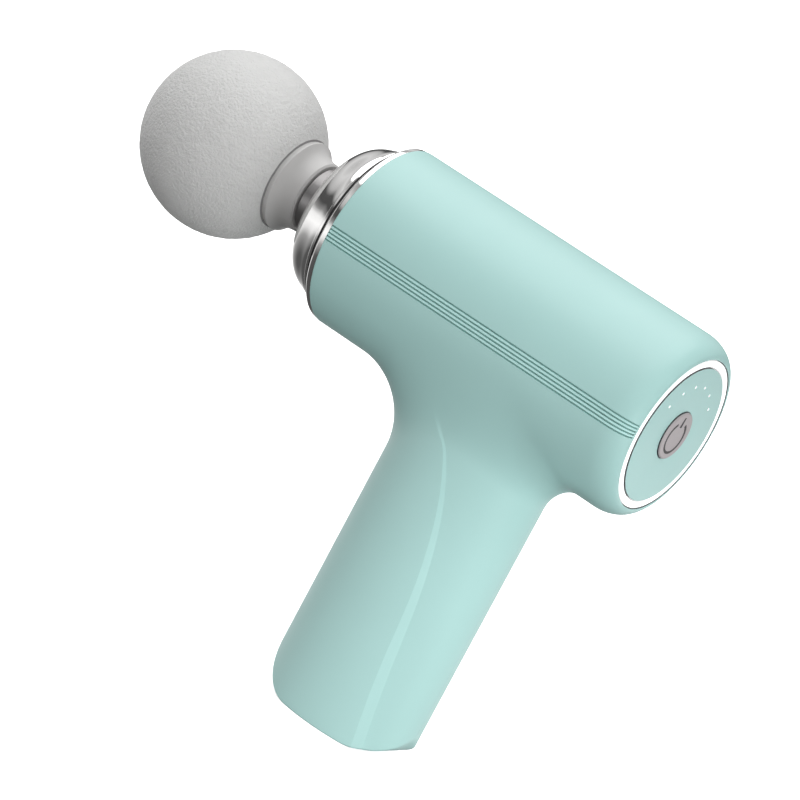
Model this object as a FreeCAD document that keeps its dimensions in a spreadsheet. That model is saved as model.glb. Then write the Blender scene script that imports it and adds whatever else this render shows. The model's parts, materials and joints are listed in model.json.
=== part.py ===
"""Hand-held massage gun: a round barrel over an oval handle, with a ball head on a reciprocating piston.

Frame: millimetres, +X forward to the ball, +Y to the user's left, +Z up. The origin is the middle of the
flat base below the handle. The barrel's axis runs along X at barrel_height.
"""
import FreeCAD, Part
import math
import os
import re
import Sketcher

V = FreeCAD.Vector
X_AXIS = V(1, 0, 0)
Y_AXIS = V(0, 1, 0)
Z_AXIS = V(0, 0, 1)

# Driving dimensions. Stations are distances along X, or along Y or Z where the name says so.
SIZES = {
    # outer form
    "barrel_radius": 24.0,
    "barrel_height": 103.3,
    "barrel_rear": -40.4,
    "barrel_front": 51.15,
    "rear_opening": 20.0,
    "rear_round": 6.8,
    "wall": 2.0,
    "handle_depth": 20.6,
    "handle_width": 15.1,
    "handle_lean": 0.9,
    "front_blend": 16.5,
    "rear_blend": 9.0,
    "base_front_round": 14.5,
    "base_rear_round": 13.5,
    "base_rear_start": -10.0,
    "play": 0.05,
    # front trim, from the barrel's mouth forward
    "trim_radius": 23.85,
    "trim_length": 1.8,
    "tail_radius": 21.85,
    "gasket_length": 1.35,
    "dome_radius": 21.4,
    "dome_tail_radius": 20.1,
    "dome_tail_bore": 15.8,
    "dome_front": 64.1,
    "seal_rear": 57.9,
    "seal_length": 3.0,
    # piston and its guide
    "piston_radius": 8.5,
    "piston_rear": 9.5,
    "piston_front": 70.15,
    "bush_radius": 10.5,
    "bush_rear": 27.0,
    "bush_front": 50.0,
    "bush_play": 0.05,
    "liner_radius": 6.4,
    "liner_bore": 5.5,
    "liner_rear": 44.0,
    # crank and connecting rod
    "motor_station": -6.0,
    "crank_throw": 3.0,
    "rod_length": 24.0,
    "rod_width": 5.0,
    "big_end_radius": 5.5,
    "small_end_radius": 4.4,
    "crank_pin_radius": 1.5,
    "wrist_pin_radius": 2.0,
    "open_pivot_gap": 0.4,
    "disc_radius": 8.0,
    "disc_length": 1.5,
    "weight_radius": 12.5,
    "weight_length": 1.3,
    # chassis
    "web_outer": -8.0,
    "web_length": 2.0,
    "web_height": 37.0,
    "web_rear": -27.0,
    "flange_rear": 41.0,
    "flange_length": 3.1,
    "flange_radius": 21.7,
    "holder_radius": 13.0,
    # motor, turning about Y
    "bell_radius": 13.0,
    "bell_bore": 12.0,
    "bell_outer": -17.2,
    "bell_inner": -8.3,
    "magnet_count": 14,
    "magnet_bore": 10.9,
    "tooth_count": 12,
    "stator_radius": 10.5,
    "stator_hub": 6.8,
    "tube_radius": 5.0,
    "bearing_radius": 4.0,
    "bearing_length": 2.8,
    "shaft_radius": 1.5,
    # rear end
    "ring_radius": 19.8,
    "ring_bore": 18.05,
    "ring_length": 3.0,
    "panel_radius": 17.75,
    "panel_length": 1.6,
    "panel_rise": 0.2,
    "ring_recess": 0.05,
    "button_radius": 6.2,
    "button_rise": 0.65,
    "button_travel": 0.6,
    "dot_count": 6,
    "dot_circle": 12.95,
    "dot_radius": 0.4,
    "dot_first_angle": 32.6,
    "dot_step": 22.4,
    "board_rear": -34.0,
    "board_length": 1.4,
    "board_radius": 15.4,
    # head
    "ball_radius": 23.1,
    "ball_station": 97.45,
    "stem_radius": 5.4,
    "stem_rear": 45.0,
    "core_radius": 7.0,
    "core_front": 99.0,
    "collar_rear_radius": 9.4,
    "collar_lip_radius": 12.0,
    # power pack in the handle
    "cell_radius": 9.1,
    "cell_length": 65.0,
    "cell_foot": 12.5,
    "cell_spread": 9.2,
    "socket_width": 8.9,
    "socket_depth": 3.2,
    "socket_height": 6.6,
    # fasteners
    "screw_radius": 1.0,
    "screw_head_radius": 1.8,
    "screw_head_length": 1.4,
}

doc = FreeCAD.newDocument("massage_gun")
sheet = doc.addObject("Spreadsheet::Sheet", "sizes")
for row, (alias, number) in enumerate(SIZES.items(), start=1):
    sheet.set("A%d" % row, alias.replace("_", " "))
    sheet.set("B%d" % row, repr(number))
    sheet.setAlias("B%d" % row, alias)
doc.recompute()

PIECES = []


# ---------------------------------------------------------------------------------------------------------
# Helpers
# ---------------------------------------------------------------------------------------------------------
def on_sheet(formula):
    """The formula with each alias written as a cell of the sheet."""
    known = r"\b(" + "|".join(SIZES) + r")\b"
    return re.sub(known, r"sizes.\1", str(formula))


def size(formula):
    """The formula's value, worked out by the sheet."""
    result = sheet.evalExpression(str(formula))
    return float(getattr(result, "Value", result))


def bind(item, **formulas):
    for name, formula in formulas.items():
        item.setExpression(name, on_sheet(formula))


def place(item, x=0, y=0, z=0, along="Z"):
    """Put a primitive at a station, with its own Z axis turned to lie along X or Y."""
    if along == "X":
        item.Placement.Rotation = FreeCAD.Rotation(Y_AXIS, 90)
    if along == "Y":
        item.Placement.Rotation = FreeCAD.Rotation(X_AXIS, -90)
    for axis, formula in (("x", x), ("y", y), ("z", z)):
        item.setExpression("Placement.Base." + axis, on_sheet(formula))
    return item


def rod(radius, length, x=0, y=0, z="barrel_height", along="X"):
    item = doc.addObject("Part::Cylinder", "rod")
    bind(item, Radius=radius, Height=length)
    return place(item, x, y, z, along)


def block(dx, dy, dz, x=0, y=0, z=0):
    """A box about the point x, y, z."""
    item = doc.addObject("Part::Box", "block")
    bind(item, Length=dx, Width=dy, Height=dz)
    return place(item, "%s - (%s) / 2" % (x, dx), "%s - (%s) / 2" % (y, dy), "%s - (%s) / 2" % (z, dz))


def ball(radius, x, y=0, z="barrel_height"):
    item = doc.addObject("Part::Sphere", "ball")
    bind(item, Radius=radius)
    return place(item, x, y, z)


def fuse(*parts):
    if len(parts) == 1:
        return parts[0]
    item = doc.addObject("Part::MultiFuse", "fuse")
    item.Shapes = list(parts)
    return item


def cut(base, *tools):
    item = doc.addObject("Part::Cut", "cut")
    item.Base = base
    item.Tool = fuse(*tools)
    return item


def group(*parts):
    item = doc.addObject("Part::Compound", "group")
    item.Links = list(parts)
    return item


def tube(radius, bore, length, x=0, y=0, z="barrel_height", along="X"):
    return cut(rod(radius, length, x, y, z, along), rod(bore, length, x, y, z, along))


def feature(shape, name="shape"):
    item = doc.addObject("Part::Feature", name)
    item.Shape = shape
    return item


def piece(label, item):
    """Name a finished sub-part, whose label names its file."""
    item.Label = label
    PIECES.append(item)
    return item


def around(count, first=0.0, step=None):
    """Angles in degrees of evenly spaced places."""
    pitch = 360.0 / count if step is None else step
    return [first + pitch * index for index in range(count)]


def turned(label, outline, start="0"):
    """A body turned about the barrel's axis. Its outline's corners are (distance past start, radius)."""
    body = doc.addObject("PartDesign::Body", label + "_body")
    sketch = body.newObject("Sketcher::SketchObject", label + "_outline")
    plane = [item for item in body.Origin.OriginFeatures if item.Role == "XZ_Plane"][0]
    sketch.AttachmentSupport = [(plane, "")]
    sketch.MapMode = "FlatFace"
    corners = [(size(along), size(radius)) for along, radius in outline]
    for index, (along, radius) in enumerate(corners):
        following = corners[(index + 1) % len(corners)]
        sketch.addGeometry(Part.LineSegment(V(along, radius, 0), V(following[0], following[1], 0)))
    for index in range(len(corners)):
        sketch.addConstraint(Sketcher.Constraint("Coincident", index, 2, (index + 1) % len(corners), 1))
    for index, formulas in enumerate(outline):
        for kind, number, formula in zip(("DistanceX", "DistanceY"), corners[index], formulas):
            which = sketch.addConstraint(Sketcher.Constraint(kind, -1, 1, index, 1, number))
            sketch.setExpression("Constraints[%d]" % which, on_sheet(formula))
    revolution = body.newObject("PartDesign::Revolution", label + "_turned")
    revolution.Profile = sketch
    revolution.ReferenceAxis = (sketch, ["H_Axis"])
    revolution.Angle = 360
    place(body, x=start, z="barrel_height")
    return body


def revolved(edges):
    """A solid turned about the barrel's axis from a closed run of edges in the XZ plane."""
    face = Part.Face(Part.Wire(Part.__sortEdges__(edges)))
    return face.revolve(V(0, 0, size("barrel_height")), X_AXIS, 360)


def run_of_lines(points):
    return [Part.LineSegment(a, b).toShape() for a, b in zip(points, points[1:]) if (a - b).Length > 1e-6]


def wire_tube(points, radius, bend):
    """A wire's insulation: straight runs joined by tangent arcs of one bend radius."""
    edges = []
    last = points[0]
    for before, corner, after in zip(points, points[1:], points[2:]):
        into = (corner - before).normalize()
        out = (after - corner).normalize()
        turn = into.getAngle(out)
        back = bend * math.tan(turn / 2)
        first = corner - into * back
        final = corner + out * back
        bisector = (out - into).normalize()
        centre = corner + bisector * (bend / math.cos(turn / 2))
        middle = centre - bisector * bend
        edges.append(Part.LineSegment(last, first).toShape())
        edges.append(Part.Arc(first, middle, final).toShape())
        last = final
    edges.append(Part.LineSegment(last, points[-1]).toShape())
    ring = Part.Wire(Part.Circle(points[0], points[1] - points[0], radius).toShape())
    return Part.Wire(edges).makePipeShell([ring], True, False)


# ---------------------------------------------------------------------------------------------------------
# Shells
# ---------------------------------------------------------------------------------------------------------
def barrel_form(inset):
    """The barrel with its rounded rear edge, drawn in by inset."""
    axis = size("barrel_height")
    rear = size("barrel_rear") + inset
    front = size("barrel_front") + (1.0 if inset else 0.0)
    radius = size("barrel_radius") - inset
    opening = size("rear_opening")
    shoulder = size("barrel_rear + rear_round")
    centre = V(shoulder, 0, axis + opening)
    long_end = V(rear, 0, axis + opening)
    short_end = V(shoulder, 0, axis + radius)
    rounding = Part.Ellipse(long_end, short_end, centre).toShape(0, math.pi / 2)
    corners = [short_end, V(front, 0, axis + radius), V(front, 0, axis), V(rear, 0, axis), long_end]
    return revolved([rounding] + run_of_lines(corners))


def handle_form(inset):
    """The oval handle, leaning a little forward, with its shaped base, drawn in by inset."""
    depth = size("handle_depth") - inset
    width = size("handle_width") - inset
    top = size("barrel_height")
    foot = -2.0
    lean = math.tan(math.radians(size("handle_lean")))
    oval = Part.Ellipse(V(lean * foot, 0, foot), depth, width).toShape()
    column = Part.Face(Part.Wire(oval)).extrude(V(lean * (top - foot), 0, top - foot))
    nose = size("base_front_round") - inset
    nose_centre = V(depth + 0.15 - nose, 0, inset + nose)
    heel = size("base_rear_round") - inset
    heel_centre = V(size("base_rear_start"), 0, inset + heel)
    heel_angle = math.radians(68)
    reach = depth + 12
    side = -width - 5

    def arc(centre, radius, start, end):
        angles = (start, (start + end) / 2, end)
        points = [centre + V(radius * math.sin(a), 0, -radius * math.cos(a)) for a in angles]
        return Part.Arc(*points).toShape(), points[0], points[2]

    nose_arc, nose_foot, nose_top = arc(nose_centre, nose, 0, math.pi / 2)
    heel_arc, heel_top, heel_foot = arc(heel_centre, heel, -heel_angle, 0)
    corners = [nose_top, V(reach, 0, nose_top.z + 1), V(reach, 0, top + 1), V(-reach, 0, top + 1),
               V(-reach, 0, heel_top.z), heel_top]
    edges = [nose_arc, heel_arc] + run_of_lines(corners) + run_of_lines([heel_foot, nose_foot])
    profile = Part.Face(Part.Wire(Part.__sortEdges__(edges)))
    profile.translate(V(0, side, 0))
    return column.common(profile.extrude(V(0, -2 * side, 0)))


def gun_half(inset):
    """The left half of the gun's form: barrel and handle joined by a blend that tightens to the rear."""
    big = 400.0
    left = Part.makeBox(big, big, big, V(-big / 2, 0, -big / 2))
    joined = barrel_form(inset).common(left).fuse(handle_form(inset).common(left)).removeSplitter()
    axis = size("barrel_height")
    radius = size("barrel_radius") - inset
    reach = size("handle_depth") + 2.0
    seams = []
    for edge in joined.Edges:
        middle = edge.valueAt((edge.FirstParameter + edge.LastParameter) / 2)
        on_barrel = abs(math.hypot(middle.y, middle.z - axis) - radius) < 1e-3
        if on_barrel and middle.y > 0.5 and middle.z < axis - 5 and abs(middle.x) < reach:
            seams.append(edge)
    seam = seams[0]
    radii = [size("front_blend") + inset, size("rear_blend") + inset]
    if seam.valueAt(seam.FirstParameter).x < seam.valueAt(seam.LastParameter).x:
        radii.reverse()
    return joined.makeFillet(radii[0], radii[1], [seam]).common(left)


def mirrored(shape):
    return shape.mirror(V(0, 0, 0), Y_AXIS)


def slab(low, high):
    return Part.makeBox(high.x - low.x, high.y - low.y, high.z - low.z, low)


def along_x(radius, start, length, y=0.0, z=0.0):
    """A cylinder along X, its place given from the barrel's axis."""
    return Part.makeCylinder(radius, length, V(start, y, size("barrel_height") + z), X_AXIS)


def corner_places(radius):
    """Four places at 45 degrees about the barrel's axis, as (y, z) from it."""
    reach = radius / math.sqrt(2)
    return [(reach, reach), (reach, -reach), (-reach, -reach), (-reach, reach)]


REAR_SCREW_CIRCLE = 18.4
FRONT_SCREW_CIRCLE = 18.0
FRAME_SCREWS = [(33.0, 16.0), (33.0, -16.0), (-23.5, 15.0), (-23.5, -15.0)]
BOARD_POSTS = [22.5, 157.5, 232.5, 307.5]
BOARD_POST_CIRCLE = 12.6


def left_half():
    """Half of the housing with what both halves have: openings, the chassis rib and the rear bosses."""
    wall = size("wall")
    radius = size("barrel_radius")
    big = 400.0
    left = Part.makeBox(big, big, big, V(-big / 2, 0, -big / 2))
    inside = gun_half(wall)
    shell = gun_half(0.0).cut(inside)
    rear = size("barrel_rear")
    shell = shell.cut(along_x(size("rear_opening"), rear - 1.0, wall + 1.0))
    rib_front = size("flange_rear - play")
    rib = along_x(radius - wall + 0.3, rib_front - 2.2, 2.2).cut(along_x(20.3, rib_front - 3.0, 4.0))
    bosses = [along_x(3.2, rear + 6.8, 7.0, y, z) for y, z in corner_places(18.9) if y > 0]
    extra = rib.fuse(bosses).common(left)
    outer_limit = barrel_form(wall - 0.4)
    shell = shell.fuse(extra.common(outer_limit)).removeSplitter()
    holes = [along_x(0.95, rear + 6.0, 6.5, y, z) for y, z in corner_places(REAR_SCREW_CIRCLE) if y > 0]
    slot_half = size("socket_width / 2 + 0.15")
    slot_depth = size("socket_depth / 2 + 0.15")
    flat = slot_half - slot_depth
    port = slab(V(-flat, -slot_depth, -1), V(flat, slot_depth, wall + 1))
    for x in (-flat, flat):
        port = port.fuse(Part.makeCylinder(slot_depth, wall + 2, V(x, 0, -1)))
    return shell.cut(holes + [port])


def seam_strip(low, high, depth):
    """A band inside the wall, next to the seam on the right-hand side, for the tongue or its groove."""
    band = gun_half(low).cut(gun_half(high))
    strip = band.common(Part.makeBox(400, depth, 400, V(-200, 0, -200)))
    return mirrored(strip)


def shells():
    half = left_half()
    wall = size("wall")
    # The tongue stops short of the rear and front openings and of the socket's slot.
    window = slab(V(-33, -5, -5), V(38, 5, 200)).cut(slab(V(-9, -5, -5), V(9, 5, wall + 1)))
    tongue = seam_strip(0.65, 1.35, 0.8).common(window)
    groove = seam_strip(0.55, 1.45, 0.95).common(slab(V(-33.2, -5, -5), V(38.2, 5, 200)))
    left = half.fuse(tongue).removeSplitter()
    right = mirrored(half).cut(groove)
    axis = size("barrel_height")
    web = size("web_outer")
    for x, z in FRAME_SCREWS:
        reach = math.sqrt(size("barrel_radius - wall") ** 2 - z * z) + 0.6
        boss = Part.makeCylinder(2.6, reach + web, V(x, web, axis + z), V(0, -1, 0))
        hole = Part.makeCylinder(0.95, 6.0, V(x, web, axis + z), V(0, -1, 0))
        right = right.fuse(boss).cut(hole)
    return left, right.removeSplitter()


left_shell, right_shell = shells()
piece("left_shell", feature(left_shell))
piece("right_shell", feature(right_shell))


# ---------------------------------------------------------------------------------------------------------
# Front trim: ring, gasket, dome and shaft seal
# ---------------------------------------------------------------------------------------------------------
piece("front_trim_ring", turned("front_trim_ring", [
    ("0", "dome_tail_radius + play"),
    ("0", "tail_radius"),
    ("barrel_front + play - flange_rear - flange_length", "tail_radius"),
    ("barrel_front + play - flange_rear - flange_length", "trim_radius"),
    ("barrel_front + trim_length - 0.8 - flange_rear - flange_length", "trim_radius"),
    ("barrel_front + trim_length - flange_rear - flange_length", "trim_radius - 0.4"),
    ("barrel_front + trim_length - flange_rear - flange_length", "dome_tail_radius + play"),
], "flange_rear + flange_length"))
piece("front_gasket", tube("dome_radius + 0.2", "dome_tail_radius + play", "gasket_length",
                           "barrel_front + trim_length"))


def dome():
    """The bright dome: a rolled nose over a bore for the seal, with a tail that screws to the chassis."""
    axis = size("barrel_height")
    seat = size("barrel_front + trim_length + gasket_length") + 0.05
    edge = size("dome_radius")
    front = size("dome_front")
    crest = [(seat + 0.55, edge - 0.15), (57.2, 20.45), (59.8, 19.4), (61.9, 18.05), (63.35, 16.25),
             (front, 14.1), (front - 0.2, 12.2), (front - 0.9, 10.4), (front - 1.9, 9.4)]
    nose = Part.BSplineCurve()
    nose.interpolate([V(x, 0, axis + r) for x, r in crest])
    tail = size("flange_rear + flange_length")
    pocket = size("seal_rear")
    pocket_front = size("seal_rear + seal_length + play")
    bore = size("dome_tail_bore")
    spigot = size("dome_tail_radius")
    outline = [(front - 1.9, 9.4), (pocket_front, 9.4), (pocket_front, 10.8), (pocket, 10.8),
               (pocket, 13.5), (55.5, bore), (tail, bore), (tail, spigot), (seat, spigot), (seat, edge),
               crest[0]]
    body = revolved([nose.toShape()] + run_of_lines([V(x, 0, axis + r) for x, r in outline]))
    holes = [along_x(0.95, tail - 1, 8.0, y, z) for y, z in corner_places(FRONT_SCREW_CIRCLE)]
    return body.cut(holes)


piece("front_dome", feature(dome()))
piece("shaft_seal", tube("10.75", "piston_radius + bush_play", "seal_length", "seal_rear"))
piece("guide_bush", tube("bush_radius", "piston_radius + bush_play", "bush_front - bush_rear", "bush_rear"))


# ---------------------------------------------------------------------------------------------------------
# Chassis
# ---------------------------------------------------------------------------------------------------------
def chassis():
    """One casting: front flange, bush holder, side web and the tube that carries the motor's bearings."""
    web_middle = "web_outer + web_length / 2"
    web_span = "flange_rear - web_rear"
    flange = rod("flange_radius", "flange_length", "flange_rear")
    holder = rod("holder_radius", "bush_front - bush_rear", "bush_rear")
    web = block(web_span, "web_length", "web_height", "web_rear + (%s) / 2" % web_span, web_middle,
                "barrel_height")
    tube_length = "web_outer - bell_outer - 2.1"
    bearing_tube = rod("tube_radius", tube_length, "motor_station", "bell_outer + 2.1", along="Y")
    bore = rod("bearing_radius", "30", "motor_station", "bell_outer", along="Y")
    bush_bore = rod("bush_radius", "60", "bush_rear - 10")
    wire_slot = block("16.4", "10", "5", "motor_station - 14.8", "web_outer", "barrel_height")
    piston_bay = rod("piston_radius + 0.8", "bush_rear - piston_rear + 2", "piston_rear - 2")
    holes = []
    for y, z in corner_places(FRONT_SCREW_CIRCLE):
        holes.append(rod("screw_radius + 0.1", "10", "flange_rear - 3", y, "barrel_height + %g" % z))
    for x, z in FRAME_SCREWS:
        holes.append(rod("screw_radius + 0.1", "10", x, "web_outer - 2", "barrel_height + %g" % z, along="Y"))
    return cut(fuse(flange, holder, web, bearing_tube), bore, bush_bore, wire_slot, piston_bay, *holes)


def screw(x, y, z, length, along="X", flip=False):
    """A pan-head screw. Its head's underside is at x, y, z and its thread runs the given way."""
    sign = -1.0 if flip else 1.0
    direction = V(sign, 0, 0) if along == "X" else V(0, sign, 0)
    seat = V(x, y, z)
    shank = Part.makeCylinder(size("screw_radius") - 0.08, length, seat, direction)
    head = Part.makeCylinder(size("screw_head_radius"), size("screw_head_length"), seat, direction * -1)
    top = seat - direction * size("screw_head_length")
    bar = Part.makeBox(0.5, 2.2, 1.4, V(-0.25, -1.1, -0.7))
    cross = bar.fuse(Part.makeBox(2.2, 0.5, 1.4, V(-1.1, -0.25, -0.7)))
    cross.Placement = FreeCAD.Placement(top, FreeCAD.Rotation(Z_AXIS, direction))
    return shank.fuse(head).cut(cross).removeSplitter()


def screws(label, seats, length, along="X", flip=False):
    made = [screw(x, y, z, length, along, flip) for x, y, z in seats]
    return piece(label, feature(Part.makeCompound(made)))


AXIS = size("barrel_height")
piece("motor_frame", chassis())
front_seats = [(size("flange_rear"), y, AXIS + z) for y, z in corner_places(FRONT_SCREW_CIRCLE)]
screws("front_screws", front_seats, 9.0)
web_face = size("web_outer + web_length")
screws("frame_screws", [(x, web_face, AXIS + z) for x, z in FRAME_SCREWS], 6.5, "Y", True)


# ---------------------------------------------------------------------------------------------------------
# Motor: stator on the chassis, bell and magnets turning about Y
# ---------------------------------------------------------------------------------------------------------
def about_motor(shape, angle):
    turned_shape = shape.copy()
    turned_shape.rotate(V(size("motor_station"), 0, AXIS), Y_AXIS, angle)
    return turned_shape


def motor_disc(radius, low, high, bore=0.0):
    """A disc or ring about the motor's axis, between two stations along Y."""
    centre = V(size("motor_station"), low, AXIS)
    disc = Part.makeCylinder(radius, high - low, centre, Y_AXIS)
    if bore:
        disc = disc.cut(Part.makeCylinder(bore, high - low, centre, Y_AXIS))
    return disc


STACK_LOW = size("bell_outer + 3.0")
STACK_HIGH = STACK_LOW + 4.0
COIL_OVERHANG = 0.8


def radial_block(inner, outer, width, low, high):
    """A block that reaches out from the motor's axis along +X."""
    station = size("motor_station")
    return slab(V(station + inner, low, AXIS - width / 2), V(station + outer, high, AXIS + width / 2))


def stator():
    count = int(size("tooth_count"))
    rim = size("stator_radius")
    hub = size("stator_hub")
    shoe_inner = rim - 0.9
    core = motor_disc(hub, STACK_LOW, STACK_HIGH, size("tube_radius"))
    shoes = motor_disc(rim, STACK_LOW, STACK_HIGH, shoe_inner)
    gap = radial_block(hub + 0.5, rim + 1, 1.0, STACK_LOW - 1, STACK_HIGH + 1)
    shoes = shoes.cut([about_motor(gap, angle) for angle in around(count, 180.0 / count)])
    tooth = radial_block(hub - 0.3, rim - 0.5, 1.6, STACK_LOW, STACK_HIGH)
    teeth = [about_motor(tooth, angle) for angle in around(count)]
    core = core.fuse([shoes] + teeth).removeSplitter()
    low = STACK_LOW - COIL_OVERHANG
    high = STACK_HIGH + COIL_OVERHANG
    coil = radial_block(hub + 0.45, shoe_inner - 0.25, 3.2, low, high)
    long_edges = [edge for edge in coil.Edges if abs(edge.tangentAt(edge.FirstParameter).x) > 0.9]
    coil = coil.makeFillet(0.5, long_edges)
    coil = coil.cut(radial_block(hub - 1, rim, 1.62, STACK_LOW - 0.01, STACK_HIGH + 0.01))
    coils = [about_motor(coil, angle) for angle in around(count)]
    return core, Part.makeCompound(coils)


stator_core, stator_windings = stator()
piece("stator_core", feature(stator_core))
piece("stator_windings", feature(stator_windings))
piece("motor_bearings", group(
    tube("bearing_radius", "shaft_radius + 0.01", "bearing_length", "motor_station", "bell_outer + 2.2",
         along="Y"),
    tube("bearing_radius", "shaft_radius + 0.01", "bearing_length", "motor_station",
         "web_outer + web_length - bearing_length", along="Y")))
bell_length = "bell_inner - bell_outer"
piece("rotor_bell", cut(
    fuse(cut(rod("bell_radius", bell_length, "motor_station", "bell_outer", along="Y"),
             rod("bell_bore", bell_length, "motor_station", "bell_outer + 1.2", along="Y")),
         rod("3.2", "1.8", "motor_station", "bell_outer", along="Y")),
    rod("shaft_radius", "20", "motor_station", "bell_outer - 1", along="Y")))


def magnets():
    count = int(size("magnet_count"))
    low = STACK_LOW - 1.0
    high = STACK_HIGH + 1.0
    ring = motor_disc(size("bell_bore"), low, high, size("magnet_bore"))
    pitch = 2 * math.pi * size("bell_bore") / count
    window = radial_block(8.0, 14.0, pitch * 0.86, low - 1, high + 1)
    return Part.makeCompound([ring.common(about_motor(window, angle)) for angle in around(count)])


piece("rotor_magnets", feature(magnets()))
disc_back = "0 - rod_width / 2 - open_pivot_gap - disc_length"
weight_back = disc_back + " - weight_length"
piece("motor_shaft", rod("shaft_radius", "0 - rod_width / 2 - open_pivot_gap - bell_outer", "motor_station",
                         "bell_outer", along="Y"))
piece("crank_disc", cut(rod("disc_radius", "disc_length", "motor_station", disc_back, along="Y"),
                        rod("shaft_radius", "10", "motor_station", "0 - 10", along="Y")))


def counterweight():
    """A sector plate opposite the crank pin, on a hub about the shaft."""
    low = size(weight_back)
    high = size(disc_back)
    plate = motor_disc(size("weight_radius"), low, high)
    hub = motor_disc(4.5, low, high)
    keep = radial_block(0.0, 20.0, 30.0, low - 1, high + 1)
    bore = motor_disc(size("shaft_radius"), low - 1, high + 1)
    return plate.common(keep).fuse(hub).removeSplitter().cut(bore)


piece("counterweight", feature(counterweight()))


# ---------------------------------------------------------------------------------------------------------
# Connecting rod, at its rear dead centre
# ---------------------------------------------------------------------------------------------------------
pin_station = "motor_station - crank_throw"
wrist_station = "motor_station - crank_throw + rod_length"
half_rod = "0 - rod_width / 2"
piece("connecting_rod", cut(
    fuse(rod("big_end_radius", "rod_width", pin_station, half_rod, along="Y"),
         rod("small_end_radius", "rod_width", wrist_station, half_rod, along="Y"),
         block("rod_length", "rod_width - 1.4", "4.6", "(%s) + rod_length / 2" % pin_station, "0",
               "barrel_height")),
    rod("crank_pin_radius + 2", "rod_width + 2", pin_station, half_rod + " - 1", along="Y"),
    rod("wrist_pin_radius + 0.6", "rod_width + 2", wrist_station, half_rod + " - 1", along="Y")))
piece("big_end_bearing", tube("crank_pin_radius + 2", "crank_pin_radius", "rod_width - 1.6", pin_station,
                              "0 - rod_width / 2 + 0.8", along="Y"))
piece("small_end_bush", tube("wrist_pin_radius + 0.6", "wrist_pin_radius + 0.02", "rod_width", wrist_station,
                             half_rod, along="Y"))
piece("crank_pin", rod("crank_pin_radius", "rod_width", pin_station, half_rod, along="Y"))


# ---------------------------------------------------------------------------------------------------------
# Piston
# ---------------------------------------------------------------------------------------------------------
def piston():
    """The sliding sleeve: a fork and wrist-pin hole behind, and the head's socket in front."""
    sleeve = doc.addObject("Part::Cylinder", "rod")
    bind(sleeve, Radius="piston_radius", Height="piston_front - piston_rear")
    place(sleeve, "piston_rear", 0, "barrel_height", "X")
    rims = doc.addObject("Part::Chamfer", "rims")
    rims.Base = sleeve
    rims.Edges = [(1, 0.4, 0.4), (3, 0.4, 0.4)]
    slot_front = "(%s) + small_end_radius + 1.2" % wrist_station
    slot_length = "(%s) - piston_rear + 2" % slot_front
    slot = block(slot_length, "rod_width + 0.6", "30", "(%s) - (%s) / 2" % (slot_front, slot_length), "0",
                 "barrel_height")
    pin_hole = rod("wrist_pin_radius", "30", wrist_station, "0 - 15", along="Y")
    socket = rod("liner_radius", "60", "liner_rear")
    return cut(rims, slot, pin_hole, socket)


piece("piston_sleeve", piston())
piece("wrist_pin", rod("wrist_pin_radius", "piston_radius * 1.7", wrist_station, "0 - piston_radius * 0.85",
                       along="Y"))
piece("socket_liner", tube("liner_radius", "liner_bore", "piston_front - liner_rear - 0.3", "liner_rear"))


# ---------------------------------------------------------------------------------------------------------
# Massage head: stem, O-ring, collar and ball
# ---------------------------------------------------------------------------------------------------------
stem_front = "(piston_front + 6.0)"
groove_start = "stem_rear + 4"
piece("head_stem", turned("head_stem", [
    ("0", "0"),
    ("0", "stem_radius - 0.8"),
    ("0.8", "stem_radius"),
    ("4.0", "stem_radius"),
    ("4.0", "stem_radius - 1.1"),
    ("5.6", "stem_radius - 1.1"),
    ("5.6", "stem_radius"),
    (stem_front + " - stem_rear", "stem_radius"),
    (stem_front + " - stem_rear", "core_radius"),
    ("core_front - 1 - stem_rear", "core_radius"),
    ("core_front - stem_rear", "core_radius - 1"),
    ("core_front - stem_rear", "0"),
], "stem_rear"))


def o_ring():
    axis = size("barrel_height")
    centre = size(groove_start) + 0.8
    thickness = 0.53
    circle = Part.Circle(V(centre, 0, axis + size("stem_radius") - 1.1 + thickness + 0.01), Y_AXIS, thickness)
    face = Part.Face(Part.Wire(circle.toShape()))
    return face.revolve(V(0, 0, axis), X_AXIS, 360)


piece("stem_o_ring", feature(o_ring()))


def collar():
    """The flared collar: a narrow rear rim that sweeps out to a lip, dished in front to follow the ball."""
    axis = size("barrel_height")
    rear = size("piston_front") + 0.1
    lip = size("collar_lip_radius")
    flare = [(rear + 0.5, size("collar_rear_radius")), (rear + 2.4, size("collar_rear_radius") + 0.25),
             (rear + 4.6, lip - 1.35), (rear + 6.1, lip)]
    curve = Part.BSplineCurve()
    curve.interpolate([V(x, 0, axis + r) for x, r in flare])
    bore = size("stem_radius") + 0.05
    outline = [(rear + 6.1, lip), (rear + 6.8, lip + 0.05), (rear + 9, lip - 0.6), (rear + 9, bore),
               (rear, bore), (rear, size("collar_rear_radius") - 0.4), flare[0]]
    body = revolved([curve.toShape()] + run_of_lines([V(x, 0, axis + r) for x, r in outline]))
    hollow = Part.makeSphere(size("ball_radius") + 0.2, V(size("ball_station"), 0, axis))
    core = along_x(size("core_radius") + 0.05, size(stem_front) - 0.05, 20.0)
    return body.cut([hollow, core])


piece("head_collar", feature(collar()))
piece("massage_ball", cut(ball("ball_radius", "ball_station"),
                          rod("core_radius + 0.02", "core_front - piston_front + 0.05", "piston_front")))


# ---------------------------------------------------------------------------------------------------------
# Rear end: panel, light ring, button and control board
# ---------------------------------------------------------------------------------------------------------
def dots(radius, length, start):
    """The six indicator places in an arc over the button, as cylinders along X."""
    result = []
    for angle in around(int(size("dot_count")), size("dot_first_angle"), size("dot_step")):
        y = "dot_circle * cos(%g)" % angle
        z = "barrel_height + dot_circle * sin(%g)" % angle
        result.append(rod(radius, length, start, y, z))
    return result


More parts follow.
